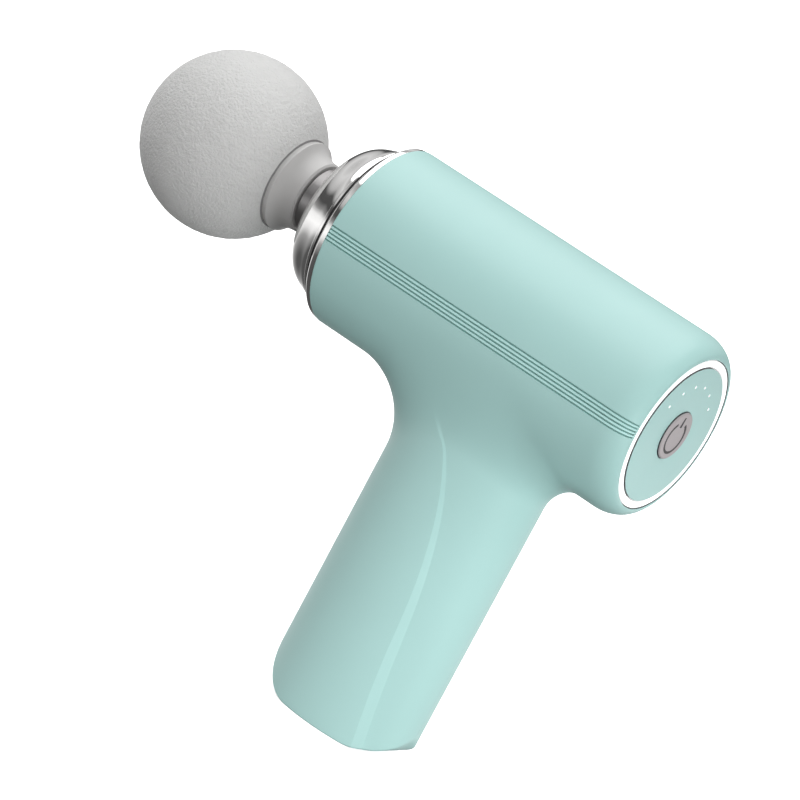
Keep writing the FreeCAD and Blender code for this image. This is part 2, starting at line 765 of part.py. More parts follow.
piece("light_ring", tube("ring_radius", "ring_bore", "ring_length - ring_recess",
                         "barrel_rear + ring_recess"))
panel_rear = "(barrel_rear - panel_rise)"
piece("rear_panel", cut(rod("panel_radius", "panel_length + panel_rise + 0.1", panel_rear),
                        rod("button_radius + 0.12", "10", "barrel_rear - 5"),
                        *dots("dot_radius + 0.03", "10", "barrel_rear - 5")))
piece("indicator_lenses", group(*dots("dot_radius", "panel_length + panel_rise + 0.25",
                                      panel_rear + " - 0.05")))


def board_places():
    """Where the board's four screws go, as (y, z)."""
    places = []
    for angle in BOARD_POSTS:
        turn = math.radians(angle)
        places.append((BOARD_POST_CIRCLE * math.cos(turn), AXIS + BOARD_POST_CIRCLE * math.sin(turn)))
    return places


def carrier():
    """The black moulding behind the panel: it holds the light ring and takes the rear screws."""
    rear = "barrel_rear + panel_length + 0.15"
    plate = rod("ring_radius", "2.2", "barrel_rear + ring_length + 0.05")
    step = rod("panel_radius", "ring_length - panel_length", rear)
    posts = []
    for y, z in board_places():
        posts.append(rod("1.9", "board_rear - barrel_rear - ring_length - 0.1",
                         "barrel_rear + ring_length + 0.05", y, z))
    tools = [rod("button_radius + 0.4", "12", "barrel_rear")]
    tools += dots("dot_radius + 0.5", "12", "barrel_rear")
    for y, z in corner_places(REAR_SCREW_CIRCLE):
        height = "barrel_height + %g" % z
        tools.append(rod("screw_radius + 0.1", "12", "barrel_rear", y, height))
        tools.append(rod("screw_head_radius + 0.2", "4.4", "barrel_rear", y, height))
    for y, z in board_places():
        tools.append(rod("0.75", "5", "board_rear - 3.0", y, z))
    return cut(fuse(plate, step, *posts), *tools)


piece("rear_carrier", carrier())
rear_seat = size("barrel_rear + 4.4")
screws("rear_screws", [(rear_seat, y, AXIS + z) for y, z in corner_places(REAR_SCREW_CIRCLE)], 6.0)

def board_screw(y, z):
    seat = V(size("board_rear + board_length"), y, z)
    shank = Part.makeCylinder(0.7, 3.6, seat, V(-1, 0, 0))
    return shank.fuse(Part.makeCylinder(1.4, 0.9, seat, X_AXIS)).removeSplitter()


piece("control_board", cut(rod("board_radius", "board_length", "board_rear"),
                           *[rod("0.9", "5", "board_rear - 1", y, z) for y, z in board_places()]))
piece("board_screws", feature(Part.makeCompound([board_screw(y, z) for y, z in board_places()])))


def around_board(radius, angles, dx, dy, dz, station):
    """Small blocks on the board, one at each angle."""
    result = []
    for angle in angles:
        result.append(block(dx, dy, dz, station, "%g * cos(%g)" % (radius, angle),
                            "barrel_height + %g * sin(%g)" % (radius, angle)))
    return result


piece("ring_leds", group(*around_board(13.7, around(9, 170, 25), "0.8", "1.4", "1.4", "board_rear - 0.4")))
dot_angles = around(int(size("dot_count")), size("dot_first_angle"), size("dot_step"))
dot_circle = size("dot_circle")
piece("indicator_leds", group(*around_board(dot_circle, dot_angles, "0.8", "0.8", "1.2", "board_rear - 0.4")))
piece("tact_switch", block("1.6", "6", "6", "board_rear - 0.8", "0", "barrel_height"))
piece("board_chips", group(
    block("1.0", "7", "7", "board_rear + board_length + 0.5", "0", "barrel_height + 4.5"),
    block("1.2", "5", "6", "board_rear + board_length + 0.6", "5.5", "barrel_height - 5"),
    block("1.2", "5", "6", "board_rear + board_length + 0.6", "0 - 1.5", "barrel_height - 7")))
piece("board_connectors", group(
    block("4.0", "3.4", "6.2", "board_rear + board_length + 2.0", "0 - 7", "barrel_height"),
    block("4.0", "3.4", "6.2", "board_rear + board_length + 2.0", "10", "barrel_height - 1")))


def power_mark():
    """A plain on/off mark: a ring open at the top, with a bar through the gap."""
    rear = size("barrel_rear - button_rise") - 0.02
    deep = 0.6
    drop = 0.5
    ring = along_x(4.2, rear, deep, 0, -drop).cut(along_x(3.62, rear - 1, deep + 2, 0, -drop))
    ring = ring.cut(slab(V(rear - 1, -1.95, AXIS + 0.5), V(rear + 2, 1.95, AXIS + 5)))
    bar = slab(V(rear, -0.33, AXIS + 2.2), V(rear + deep, 0.33, AXIS + 4.9))
    return ring, bar


mark_ring, mark_bar = power_mark()
piece("button_mark", feature(Part.makeCompound([mark_ring, mark_bar])))


def button():
    """The round push button, slightly dished for a finger, with a skirt and its mark let in."""
    rear = size("barrel_rear - button_rise")
    back = size("barrel_rear") + 3.0
    radius = size("button_radius")
    face = along_x(radius, rear, back - rear)
    face = face.makeChamfer(0.25, [edge for edge in face.Edges if abs(edge.CenterOfMass.x - rear) < 1e-6])
    dish = Part.makeSphere(90.0, V(rear - 90.0 + 0.2, 0, AXIS))
    skirt = along_x(radius - 1.2, back, 0.6)
    return face.fuse(skirt).cut([dish, mark_ring, mark_bar]).removeSplitter()


piece("power_button", feature(button()))
piece("switch_plunger", rod("1.6", "board_rear - 1.65 - button_travel - barrel_rear - 3.6",
                             "barrel_rear + 3.6"))


# ---------------------------------------------------------------------------------------------------------
# Power pack and charging board, standing in the handle along its lean
# ---------------------------------------------------------------------------------------------------------
def leaning(shape):
    """Turn a shape about the origin so that it follows the handle."""
    shape.rotate(V(0, 0, 0), Y_AXIS, size("handle_lean"))
    return shape


def oval_plate(margin, low, high):
    """A plate of the handle's own oval, smaller all round by the margin."""
    oval = Part.Ellipse(V(0, 0, low), size("handle_depth") - margin, size("handle_width") - margin)
    return Part.Face(Part.Wire(oval.toShape())).extrude(V(0, 0, high - low))


FOOT = size("cell_foot")
TOP = size("cell_foot + cell_length")
SPREAD = size("cell_spread")


def cell(x):
    """A round cell with its positive button and a shrink sleeve's rounded shoulders."""
    can = Part.makeCylinder(size("cell_radius"), size("cell_length") - 0.6, V(x, 0, FOOT))
    can = can.makeFillet(0.6, [can.Edges[0], can.Edges[2]])
    return can.fuse(Part.makeCylinder(3.0, 0.8, V(x, 0, TOP - 0.8))).removeSplitter()


piece("front_cell", feature(leaning(cell(SPREAD))))
piece("rear_cell", feature(leaning(cell(-SPREAD))))


TAB_REACH = SPREAD + 3.0
TAB_HALF = 2.5
TAB_GAP = 0.02
TAB_LENGTH = 0.2


def holder(low, high):
    """An end holder with a window over each cell's contact and a channel for the strip between them."""
    plate = oval_plate(size("wall") + 0.25, low, high)
    windows = [Part.makeCylinder(5.0, high - low + 2, V(x, 0, low - 1)) for x in (SPREAD, -SPREAD)]
    channel_top = TOP + TAB_LENGTH + 2 * TAB_GAP
    channel = slab(V(-TAB_REACH, -TAB_HALF - 0.1, TOP), V(TAB_REACH, TAB_HALF + 0.1, channel_top))
    return plate.cut(windows + [channel])


def tabs():
    """Nickel strips: one across the pair on top, one lead-out tab on each cell below."""
    low = TOP + TAB_GAP
    strips = [slab(V(-TAB_REACH, -TAB_HALF, low), V(TAB_REACH, TAB_HALF, low + TAB_LENGTH))]
    high = FOOT - TAB_GAP
    for x in (SPREAD, -SPREAD):
        strips.append(slab(V(x - 3, -TAB_HALF, high - TAB_LENGTH), V(x + 3, TAB_HALF, high)))
    return Part.makeCompound(strips)


nose_relief = slab(V(17.0, -20, 0), V(30, 20, FOOT + 5))
piece("lower_cell_holder", feature(leaning(holder(FOOT - 3.0, FOOT - 0.05).cut(nose_relief))))
piece("upper_cell_holder", feature(leaning(holder(TOP - 0.55, TOP + 2.0))))
piece("nickel_tabs", feature(leaning(tabs())))


def rounded_slot(width, depth, low, high):
    """An upright bar with round ends, as a charging socket has."""
    flat = (width - depth) / 2
    body = slab(V(-flat, -depth / 2, low), V(flat, depth / 2, high))
    ends = [Part.makeCylinder(depth / 2, high - low, V(x, 0, low)) for x in (-flat, flat)]
    return body.fuse(ends).removeSplitter()


def charging():
    foot = 0.4
    height = size("socket_height")
    width = size("socket_width")
    depth = size("socket_depth")
    skin = 0.28
    shell = rounded_slot(width, depth, foot, foot + height)
    shell = shell.cut(rounded_slot(width - 2 * skin, depth - 2 * skin, foot - 1, foot + height + 1))
    base = rounded_slot(width - 2 * skin, depth - 2 * skin, foot + height - 1.2, foot + height)
    tongue = slab(V(-3.3, -0.35, foot + 0.7), V(3.3, 0.35, foot + height - 1.2))
    board = slab(V(-12, -7.5, foot + height), V(12, 7.5, foot + height + 1.0))
    return shell, base.fuse(tongue).removeSplitter(), board


socket_shell, socket_tongue, charge_board = charging()
piece("charge_socket", feature(socket_shell))
piece("socket_tongue", feature(socket_tongue))
piece("charge_board", feature(charge_board))


# ---------------------------------------------------------------------------------------------------------
# Internal wiring
# ---------------------------------------------------------------------------------------------------------
def phase_wires():
    """Three motor leads, from the windings through the web's slot and back to the board."""
    station = size("motor_station")
    lane = size("web_outer + web_length / 2")
    end = size("board_rear + board_length + 4.0")
    start = STACK_HIGH + COIL_OVERHANG + 0.1
    wires = []
    for offset in (-1.5, 0.0, 1.5):
        height = AXIS + offset
        points = [V(station - 8.0, start, height), V(station - 8.0, lane, height), V(end, lane, height)]
        wires.append(wire_tube(points, 0.5, 0.9))
    return Part.makeCompound(wires)


def battery_wires():
    """Two leads from the pack's top, up the left of the barrel and back to the board."""
    end = size("board_rear + board_length + 4.0")
    wires = []
    for lane, height in ((8.9, AXIS - 2.4), (10.5, AXIS + 0.4)):
        points = [V(-8.0, lane, TOP + 2.6), V(-8.0, lane, height), V(end, lane, height)]
        wires.append(wire_tube(points, 0.65, 6.0))
    return Part.makeCompound(wires)


piece("phase_wires", feature(phase_wires()))
piece("battery_wires", feature(battery_wires()))


# ---------------------------------------------------------------------------------------------------------
# Checks and export
# ---------------------------------------------------------------------------------------------------------
def check_document():
    doc.recompute()
    bad = [item.Label for item in doc.Objects if "Invalid" in item.State or "Error" in item.State]
    if bad:
        raise RuntimeError("not computed: " + ", ".join(bad))
    for item in PIECES:
        if item.Shape.isNull() or not item.Shape.isValid() or not item.Shape.Solids:
            raise RuntimeError("no sound solid: " + item.Label)
    labels = [item.Label for item in PIECES]
    if len(set(labels)) != len(labels):
        raise RuntimeError("two sub-parts share a label")


def export():
    os.makedirs("parts", exist_ok=True)
    for item in PIECES:
        item.Shape.exportStep(os.path.join("parts", item.Label + ".step"))


check_document()
export()
print(len(PIECES), "sub-parts,", sum(len(item.Shape.Solids) for item in PIECES), "solids")
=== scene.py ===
"""Looks of the hand-held massage gun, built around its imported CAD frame.

Lengths in this file are millimetres in the CAD frame (+X forward, +Y left, +Z up) and become metres when a
mesh is made. Angles about the handle are measured from +X towards +Y.
"""
import json
import math

import bmesh
import bpy
import numpy as np
from mathutils import Matrix, Vector


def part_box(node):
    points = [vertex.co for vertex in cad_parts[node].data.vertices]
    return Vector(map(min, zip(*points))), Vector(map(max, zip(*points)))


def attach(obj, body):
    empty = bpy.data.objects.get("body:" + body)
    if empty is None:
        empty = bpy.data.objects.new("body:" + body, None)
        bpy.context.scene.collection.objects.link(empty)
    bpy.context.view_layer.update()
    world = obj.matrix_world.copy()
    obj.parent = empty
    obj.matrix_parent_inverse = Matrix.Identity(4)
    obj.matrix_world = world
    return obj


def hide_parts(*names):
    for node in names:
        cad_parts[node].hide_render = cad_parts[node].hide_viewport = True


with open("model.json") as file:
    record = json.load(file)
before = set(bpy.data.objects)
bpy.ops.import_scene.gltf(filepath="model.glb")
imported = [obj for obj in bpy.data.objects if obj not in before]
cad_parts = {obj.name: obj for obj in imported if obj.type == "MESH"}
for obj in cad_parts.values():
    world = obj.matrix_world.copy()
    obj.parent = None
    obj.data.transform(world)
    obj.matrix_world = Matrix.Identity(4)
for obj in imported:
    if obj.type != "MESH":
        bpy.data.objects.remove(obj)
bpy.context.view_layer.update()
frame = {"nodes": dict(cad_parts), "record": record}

MM = 0.001


def cad_box(node):
    """A node's lowest and highest corners in millimetres."""
    low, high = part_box(node)
    return np.array(low) / MM, np.array(high) / MM


# The barrel, as the CAD shells have it.
SHELL_LOW, SHELL_HIGH = cad_box("left_shell")
BALL_LOW, BALL_HIGH = cad_box("massage_ball")
BARREL_RADIUS = SHELL_HIGH[1]
AXIS_Z = SHELL_HIGH[2] - BARREL_RADIUS
BARREL_REAR = SHELL_LOW[0]
BARREL_FRONT = SHELL_HIGH[0]
REAR_OPENING = 20.0
REAR_ROUND = 6.8
LIP = 0.16

# The handle's oval (half depth, half width, lean and shift along X) and its blends into the barrel.
HANDLE_DEPTH = 20.85
HANDLE_WIDTH = 15.1
HANDLE_SHIFT = -0.38
HANDLE_LEAN = math.tan(math.radians(0.9))
FRONT_BLEND = 16.5
SIDE_BLEND = 8.8
REAR_BLEND = 9.0

# The base: where it starts to rise in front and behind, and the rounding of its edge.
BASE_NOSE_START = 6.9
BASE_NOSE_HEIGHT = 16.0
BASE_REAR_ROUND = 13.5
BASE_REAR_START = -10.0
EDGE_ROUND = 0.45
EDGE_ROUND_BEHIND = 1.9
EDGE_WIDENS_FROM = 135.0

# The search for the skin: a distance past any blend, how far out to look, and how many times to halve.
BEYOND_BLEND = 99.0
SEARCH_REACH = 70.0
BISECTIONS = 46

# The moulded wall, thinner beside the rear opening's lip, and half the gap between the two halves.
WALL = 1.6
LIP_WALL_SHARE = 0.4
SEAM = 0.012
SKIN_SHARP_ANGLE = 14.0


# ---------------------------------------------------------------------------------------------------------
# Mesh helpers
# ---------------------------------------------------------------------------------------------------------
def new_object(name, mesh):
    item = bpy.data.objects.new(name, mesh)
    bpy.context.scene.collection.objects.link(item)
    return item


def shade(item, sharp_angle=30.0):
    item.data.polygons.foreach_set("use_smooth", [True] * len(item.data.polygons))
    item.data.set_sharp_from_angle(angle=math.radians(sharp_angle))


def object_from(name, points, faces, sharp_angle=30.0):
    """A smooth-shaded mesh object from points in millimetres."""
    mesh = bpy.data.meshes.new(name)
    mesh.from_pydata([tuple(point * MM) for point in np.asarray(points, float)], [], faces)
    mesh.validate()
    item = new_object(name, mesh)
    shade(item, sharp_angle)
    return item


def lathe(name, outline, segments=144, sharp_angle=30.0):
    """A closed ring or solid turned about the barrel's axis from a closed outline of (x, radius) points."""
    points = []
    faces = []
    rings = []
    for x, radius in outline:
        if radius < 1e-6:
            rings.append([len(points)])
            points.append((x, 0.0, AXIS_Z))
            continue
        rings.append(list(range(len(points), len(points) + segments)))
        for step in range(segments):
            angle = 2 * math.pi * step / segments
            points.append((x, radius * math.sin(angle), AXIS_Z + radius * math.cos(angle)))
    count = len(rings)
    for index in range(count):
        near, far = rings[index], rings[(index + 1) % count]
        if len(near) == 1 and len(far) == 1:
            continue
        for step in range(segments):
            after = (step + 1) % segments
            if len(near) == 1:
                faces.append((near[0], far[after], far[step]))
            elif len(far) == 1:
                faces.append((near[step], near[after], far[0]))
            else:
                faces.append((near[step], near[after], far[after], far[step]))
    item = object_from(name, points, faces, sharp_angle)
    tidy_normals(item)
    shade(item, sharp_angle)
    return item


def tidy_normals(item):
    work = bmesh.new()
    work.from_mesh(item.data)
    bmesh.ops.remove_doubles(work, verts=work.verts, dist=1e-7)
    bmesh.ops.recalc_face_normals(work, faces=work.faces)
    work.to_mesh(item.data)
    work.free()


def corner_arc(centre, radius, start, end, steps=6):
    """Points of an arc in an outline, between two angles in degrees."""
    angles = np.radians(np.linspace(start, end, steps))
    return [(centre[0] + radius * math.cos(a), centre[1] + radius * math.sin(a)) for a in angles]


def spline_through(knots, values, at):
    """Natural cubic spline through the knots, worked out at the given places."""
    knots = np.asarray(knots, float)
    values = np.asarray(values, float)
    gaps = np.diff(knots)
    slopes = np.diff(values) / gaps
    size = len(knots)
    matrix = np.eye(size)
    right = np.zeros(size)
    for i in range(1, size - 1):
        matrix[i, i - 1:i + 2] = (gaps[i - 1], 2 * (gaps[i - 1] + gaps[i]), gaps[i])
        right[i] = 6 * (slopes[i] - slopes[i - 1])
    bends = np.linalg.solve(matrix, right)
    place = np.clip(np.searchsorted(knots, at) - 1, 0, size - 2)
    step = gaps[place]
    before = at - knots[place]
    after = knots[place + 1] - at
    curve = (bends[place] * after ** 3 + bends[place + 1] * before ** 3) / (6 * step)
    curve += (values[place] / step - bends[place] * step / 6) * after
    curve += (values[place + 1] / step - bends[place + 1] * step / 6) * before
    return curve


def smooth_curve(points, count):
    """A smooth run of (x, radius) points through the given ones."""
    points = np.asarray(points, float)
    lengths = np.r_[0, np.cumsum(np.hypot(*np.diff(points, axis=0).T))]
    at = np.linspace(0, lengths[-1], count)
    return list(zip(spline_through(lengths, points[:, 0], at), spline_through(lengths, points[:, 1], at)))


# ---------------------------------------------------------------------------------------------------------
# Housing skin: a barrel and an oval handle that flow into each other
# ---------------------------------------------------------------------------------------------------------
def handle_centre(z):
    return HANDLE_SHIFT + HANDLE_LEAN * z


def blend_radius(forward):
    """The blend's radius by direction about the handle: 1 in front, 0 at the sides and -1 behind."""
    front = np.clip(forward, 0, 1) ** 2
    rear = np.clip(-forward, 0, 1) ** 2
    return SIDE_BLEND + (FRONT_BLEND - SIDE_BLEND) * front + (REAR_BLEND - SIDE_BLEND) * rear


def skin_field(x, y, z):
    """Below zero inside the housing: the barrel and the handle, joined by the blend."""
    to_barrel = np.hypot(y, z - AXIS_Z) - BARREL_RADIUS
    across = x - handle_centre(z)
    oval = np.sqrt((across / HANDLE_DEPTH) ** 2 + (y / HANDLE_WIDTH) ** 2)
    steepness = np.sqrt(across ** 2 / HANDLE_DEPTH ** 4 + y ** 2 / HANDLE_WIDTH ** 4)
    to_handle = np.where(z > AXIS_Z, BEYOND_BLEND, (oval - 1) * oval / np.maximum(steepness, 1e-6))
    blend = blend_radius(across / HANDLE_DEPTH / np.maximum(oval, 1e-6))
    overlap = np.hypot(np.maximum(blend - to_barrel, 0), np.maximum(blend - to_handle, 0))
    return np.maximum(blend, np.minimum(to_barrel, to_handle)) - overlap


def where_zero(place, low, high):
    """Bisect for the field's surface along lines: place(t) gives x, y, z arrays."""
    low = np.array(low, float)
    high = np.array(high, float)
    for _ in range(BISECTIONS):
        middle = (low + high) / 2
        inside = skin_field(*place(middle)) < 0
        low = np.where(inside, middle, low)
        high = np.where(inside, high, middle)
    return (low + high) / 2


def barrel_points(x, radius, around):
    """Points at stations along the barrel and angles from its top, pushed out to the blend."""
    x, radius, around = np.broadcast_arrays(x, radius, around)

    def place(reach):
        return x, reach * np.sin(around), AXIS_Z + reach * np.cos(around)

    reach = where_zero(place, np.full(x.shape, BARREL_RADIUS - 1e-9), np.full(x.shape, SEARCH_REACH))
    full = np.abs(radius - BARREL_RADIUS) < 1e-6
    reach = np.where(full, reach, radius)
    return np.stack(place(reach), axis=-1)


def base_height(x):
    """The underside's height: flat in the middle, rounded up at the front and swept up behind."""
    nose_length = HANDLE_DEPTH + HANDLE_SHIFT - BASE_NOSE_START
    nose = np.clip((x - BASE_NOSE_START) / nose_length, 0, 0.995)
    heel = np.clip(BASE_REAR_START - x, 0, BASE_REAR_ROUND)
    rise = BASE_NOSE_HEIGHT * (1 - np.sqrt(1 - nose ** 2))
    return rise + BASE_REAR_ROUND - np.sqrt(BASE_REAR_ROUND ** 2 - heel ** 2)


# The block of the barrel's grid that the handle grows out of, and how many rows and columns it has.
BLOCK_REAR = -30.5
BLOCK_FRONT = 43.5
BLOCK_TOP = math.radians(106)
BLOCK_COLUMNS = 72
BLOCK_ROWS = 20
SIDE_ROWS = 30

# The fine grooves along each side: their spacing round the barrel, and one groove's section.
GROOVE_COUNT = 5
GROOVE_PITCH = 0.908
GROOVE_CENTRE = GROOVE_PITCH / 2
GROOVE_HALF = 0.22
GROOVE_DEPTH = 0.42
GROOVE_SHAPE = [(-1.0, 0.0), (-0.82, 0.45), (-0.55, 0.9), (0.0, 1.0), (0.55, 0.9), (0.82, 0.45), (1.0, 0.0)]


def groove_rows():
    """Angles from the barrel's top through the grooved band, with how deep each row is let in."""
    rows = []
    for index in range(GROOVE_COUNT):
        middle = GROOVE_CENTRE + (index - (GROOVE_COUNT - 1) / 2) * GROOVE_PITCH
        for across, depth in GROOVE_SHAPE:
            angle = math.pi / 2 + (middle + across * GROOVE_HALF) / BARREL_RADIUS
            rows.append((angle, depth * GROOVE_DEPTH))
    return rows


def barrel_rows():
    """Rows (angle, depth) of the barrel's grid from its top to the block."""
    grooves = groove_rows()
    first = grooves[0][0]
    last = grooves[-1][0]
    above = [(angle, 0.0) for angle in np.linspace(0, first, 44)[:-1]]
    below = [(angle, 0.0) for angle in np.linspace(last, BLOCK_TOP, 8)[1:]]
    return above + grooves + below


def barrel_stations():
    """Stations (x, radius) from the rear opening's lip to the mouth's lip."""
    shoulder = BARREL_REAR + REAR_ROUND
    rise = BARREL_RADIUS - REAR_OPENING
    start = math.asin(LIP / rise)
    rim = shoulder - REAR_ROUND * math.cos(start)
    lip_bend = np.radians(np.linspace(0, 90, 11))
    rear = [(BARREL_REAR + 1.6, REAR_OPENING), (BARREL_REAR + LIP + 0.2, REAR_OPENING)]
    rear += [(rim + LIP * (1 - math.sin(a)), REAR_OPENING + LIP * (1 - math.cos(a))) for a in lip_bend][:-1]
    rear += [(shoulder - REAR_ROUND * math.cos(a), REAR_OPENING + rise * math.sin(a))
             for a in np.linspace(start, math.pi / 2, 26)][:-1]
    plain = [(x, BARREL_RADIUS) for x in np.linspace(shoulder, BLOCK_REAR, 4)[:-1]]
    block = [(x, BARREL_RADIUS) for x in np.linspace(BLOCK_REAR, BLOCK_FRONT, BLOCK_COLUMNS + 1)]
    mouth = BARREL_FRONT - LIP
    front = [(x, BARREL_RADIUS) for x in np.linspace(BLOCK_FRONT, mouth, 7)[1:]]
    front += [(mouth + LIP * math.sin(a), BARREL_RADIUS - LIP * (1 - math.cos(a))) for a in lip_bend][1:]
    front += [(BARREL_FRONT, BARREL_RADIUS - 1.2), (BARREL_FRONT, BARREL_RADIUS - 2.0)]
    first = len(rear) + len(plain)
    return rear + plain + block + front, first, first + BLOCK_COLUMNS


def groove_sink(points, stations, angles, depths):
    """Let rows of a barrel grid (stations by rows) in, square to the skin of each station."""
    along = np.array(stations)
    slope = np.gradient(along, axis=0)
    slope[along[:, 0] > BLOCK_FRONT] = (1, 0)
    slope /= np.linalg.norm(slope, axis=1, keepdims=True)
    fade = np.clip((along[:, 1] - REAR_OPENING - 0.5) / 0.5, 0, 1)
    fade[-2:] = 0
    depth = depths[None, :] * fade[:, None]
    sunk = points.copy()
    sunk[..., 0] += depth * slope[:, 1:]
    sunk[..., 1] -= depth * slope[:, :1] * np.sin(angles)
    sunk[..., 2] -= depth * slope[:, :1] * np.cos(angles)
    return sunk


def join_columns():
    """Angles about the handle for the columns that meet the barrel's block, front to rear."""
    front_share = math.radians(42)
    rear_share = math.radians(133)
    ahead = np.linspace(0, front_share, SIDE_ROWS + 1)
    middle = np.linspace(front_share, rear_share, BLOCK_COLUMNS + 1)[1:]
    behind = np.linspace(rear_share, math.pi, SIDE_ROWS + 1)[1:]
    return np.r_[ahead, middle, behind]


def beside_oval(out, turn, z):
    """The point that stands out from the handle's oval at an angle and a height."""
    return handle_centre(z) + (HANDLE_DEPTH + out) * np.cos(turn), (HANDLE_WIDTH + out) * np.sin(turn), z


def join_curve(turn):
    """The curve halfway round the blend, where the handle's columns meet the barrel's block."""
    out = blend_radius(np.cos(turn)) * (1 - math.sqrt(0.5))

    def place(drop):
        return beside_oval(out, turn, AXIS_Z - drop)

    drop = where_zero(place, np.zeros(len(turn)), np.full(len(turn), 60.0))
    return np.stack(place(drop), axis=-1)


# The crease down each side of the handle: heights, and the angles of the bevel's front and rear edges.
CREASE_HEIGHTS = [-2.0, 20.0, 40.0, 58.0, 70.0, 76.0, 84.0]
CREASE_FRONT = [128.0, 118.8, 113.8, 104.0, 91.0, 80.5, 62.0]
CREASE_REAR = [138.0, 127.2, 119.9, 108.2, 93.8, 82.4, 63.2]
CREASE_SLOPE = math.tan(math.radians(21))
CREASE_TOP = CREASE_HEIGHTS[-1]
CREASE_FADE = 9.0
CREASE_END = math.radians(160)
CREASE_COLUMN = 51
CREASE_BAND = 5
COLUMNS_FOLLOW_TO = 73.0


def crease_depth(z):
    """How deep the bevel drops at a height: widest at the base and nothing at the top."""
    front = spline_through(CREASE_HEIGHTS, CREASE_FRONT, z)
    rear = spline_through(CREASE_HEIGHTS, CREASE_REAR, z)
    width = np.radians(rear - front) * (HANDLE_DEPTH + HANDLE_WIDTH) / 2
    return np.clip(width * CREASE_SLOPE, 0, None) * np.clip((CREASE_TOP - z) / CREASE_FADE, 0, 1)


def smooth_step(share):
    """An eased 0 to 1."""
    share = np.clip(share, 0, 1)
    return share * share * (3 - 2 * share)


def handle_angles(z, turn):
    """Angles of the columns at heights z, drawn aside so that two of them follow the bevel's edges."""
    rear_column = CREASE_COLUMN + CREASE_BAND
    top_front = turn[CREASE_COLUMN]
    top_rear = turn[rear_column]
    height = np.clip(z, CREASE_HEIGHTS[0], CREASE_TOP)
    ease = smooth_step((z - COLUMNS_FOLLOW_TO) / CREASE_FADE)
    front = np.radians(spline_through(CREASE_HEIGHTS, CREASE_FRONT, height)) * (1 - ease) + top_front * ease
    rear = np.radians(spline_through(CREASE_HEIGHTS, CREASE_REAR, height)) * (1 - ease) + top_rear * ease
    columns = np.arange(len(turn))[None, :]
    before = turn[None, :] * (front / top_front)
    band = front + (rear - front) * (columns - CREASE_COLUMN) / CREASE_BAND
    after = math.pi - (math.pi - turn[None, :]) * ((math.pi - rear) / (math.pi - top_rear))
    return np.where(columns <= CREASE_COLUMN, before, np.where(columns >= rear_column, after, band))


def wall_reach(z, angles):
    """How far the handle's skin stands off the plain oval: out in the blend, in behind the bevel."""
    def place(out):
        return beside_oval(out, angles, z)

    out = where_zero(place, np.full(z.shape, -1.0), np.full(z.shape, 25.0))
    columns = np.arange(z.shape[1])[None, :]
    into_band = np.clip((columns - CREASE_COLUMN) / CREASE_BAND, 0, 1)
    edge_turn = angles[:, CREASE_COLUMN + CREASE_BAND][:, None]
    rear_fade = smooth_step((CREASE_END - angles) / (CREASE_END - edge_turn))
    fade = np.where(columns > CREASE_COLUMN + CREASE_BAND, rear_fade, 1)
    return out - crease_depth(z) * into_band * fade


def handle_wall(turn, join):
    """Rows from the base's rounded edge up to the join with the barrel."""
    behind = (np.degrees(turn) - EDGE_WIDENS_FROM) / (180 - EDGE_WIDENS_FROM)
    edge = EDGE_ROUND + EDGE_ROUND_BEHIND * smooth_step(behind)
    rise = np.r_[np.linspace(0, 0.06, 5)[:-1], np.linspace(0.06, 1.0, 70)][:, None]
    foot = base_height(handle_centre(0) + HANDLE_DEPTH * np.cos(turn)) + edge
    # The foot's height hangs on how far out it stands, and the other way round: a few rounds settle both.
    for _ in range(4):
        z = foot * (1 - rise) + join[None, :, 2] * rise
        angles = handle_angles(z, turn)
        reach = wall_reach(z[:1], angles[:1])[0]
        foot = base_height(beside_oval(reach, angles[0], z[0])[0]) + edge
    z = foot * (1 - rise) + join[None, :, 2] * rise
    angles[-1] = turn
    out = wall_reach(z, angles)
    wall = np.stack(beside_oval(out, angles, z), axis=-1)
    wall[-1] = join
    rounding = []
    for bend in np.radians(np.linspace(90, 0, 11))[:-1]:
        inwards = edge * (1 - math.cos(bend))
        row = np.stack(beside_oval(out[0] - inwards, angles[0], z[0]), axis=-1)
        row[:, 2] = base_height(row[:, 0]) + edge * (1 - math.sin(bend))
        rounding.append(row)
    return np.concatenate([np.array(rounding), wall])


def slot_outline(share, width, depth):
    """Half of a round-ended slot, from its front tip over the left side to its rear tip."""
    flat = (width - depth) / 2
    radius = depth / 2
    quarter = math.pi / 2 * radius
    total = 2 * quarter + 2 * flat
    at = share * total
    turn = np.minimum(at / radius, math.pi / 2)
    turn = np.where(at > total - quarter, (at - 2 * flat) / radius, turn)
    slide = np.clip(at - quarter, 0, 2 * flat)
    x = flat - slide + radius * np.cos(turn)
    return x, radius * np.sin(turn)


def base_cap(rim):
    """Rings from the base's edge in to the charging slot, and a short way up its wall."""
    low, high = cad_box("charge_socket")
    slack = 0.3
    share = np.linspace(0, 1, len(rim))
    slot_x, slot_y = slot_outline(share, high[0] - low[0] + slack, high[1] - low[1] + slack)
    rings = []
    for inward in np.linspace(0, 1, 26):
        ring = rim.copy()
        ring[:, 0] = rim[:, 0] * (1 - inward) + slot_x * inward
        ring[:, 1] = rim[:, 1] * (1 - inward) + slot_y * inward
        ring[:, 2] = rim[:, 2] if inward == 0 else base_height(ring[:, 0])
        rings.append(ring)
    slot_edge = rings[-1]
    for height in (0.15, 0.6, 1.4):
        ring = slot_edge.copy()
        ring[:, 2] = height
        rings.append(ring)
    return np.array(rings[::-1])


def grid_faces(rows, columns, start):
    faces = []
    for row in range(rows - 1):
        for column in range(columns - 1):
            corner = start + row * columns + column
            faces.append((corner, corner + 1, corner + columns + 1, corner + columns))
    return faces


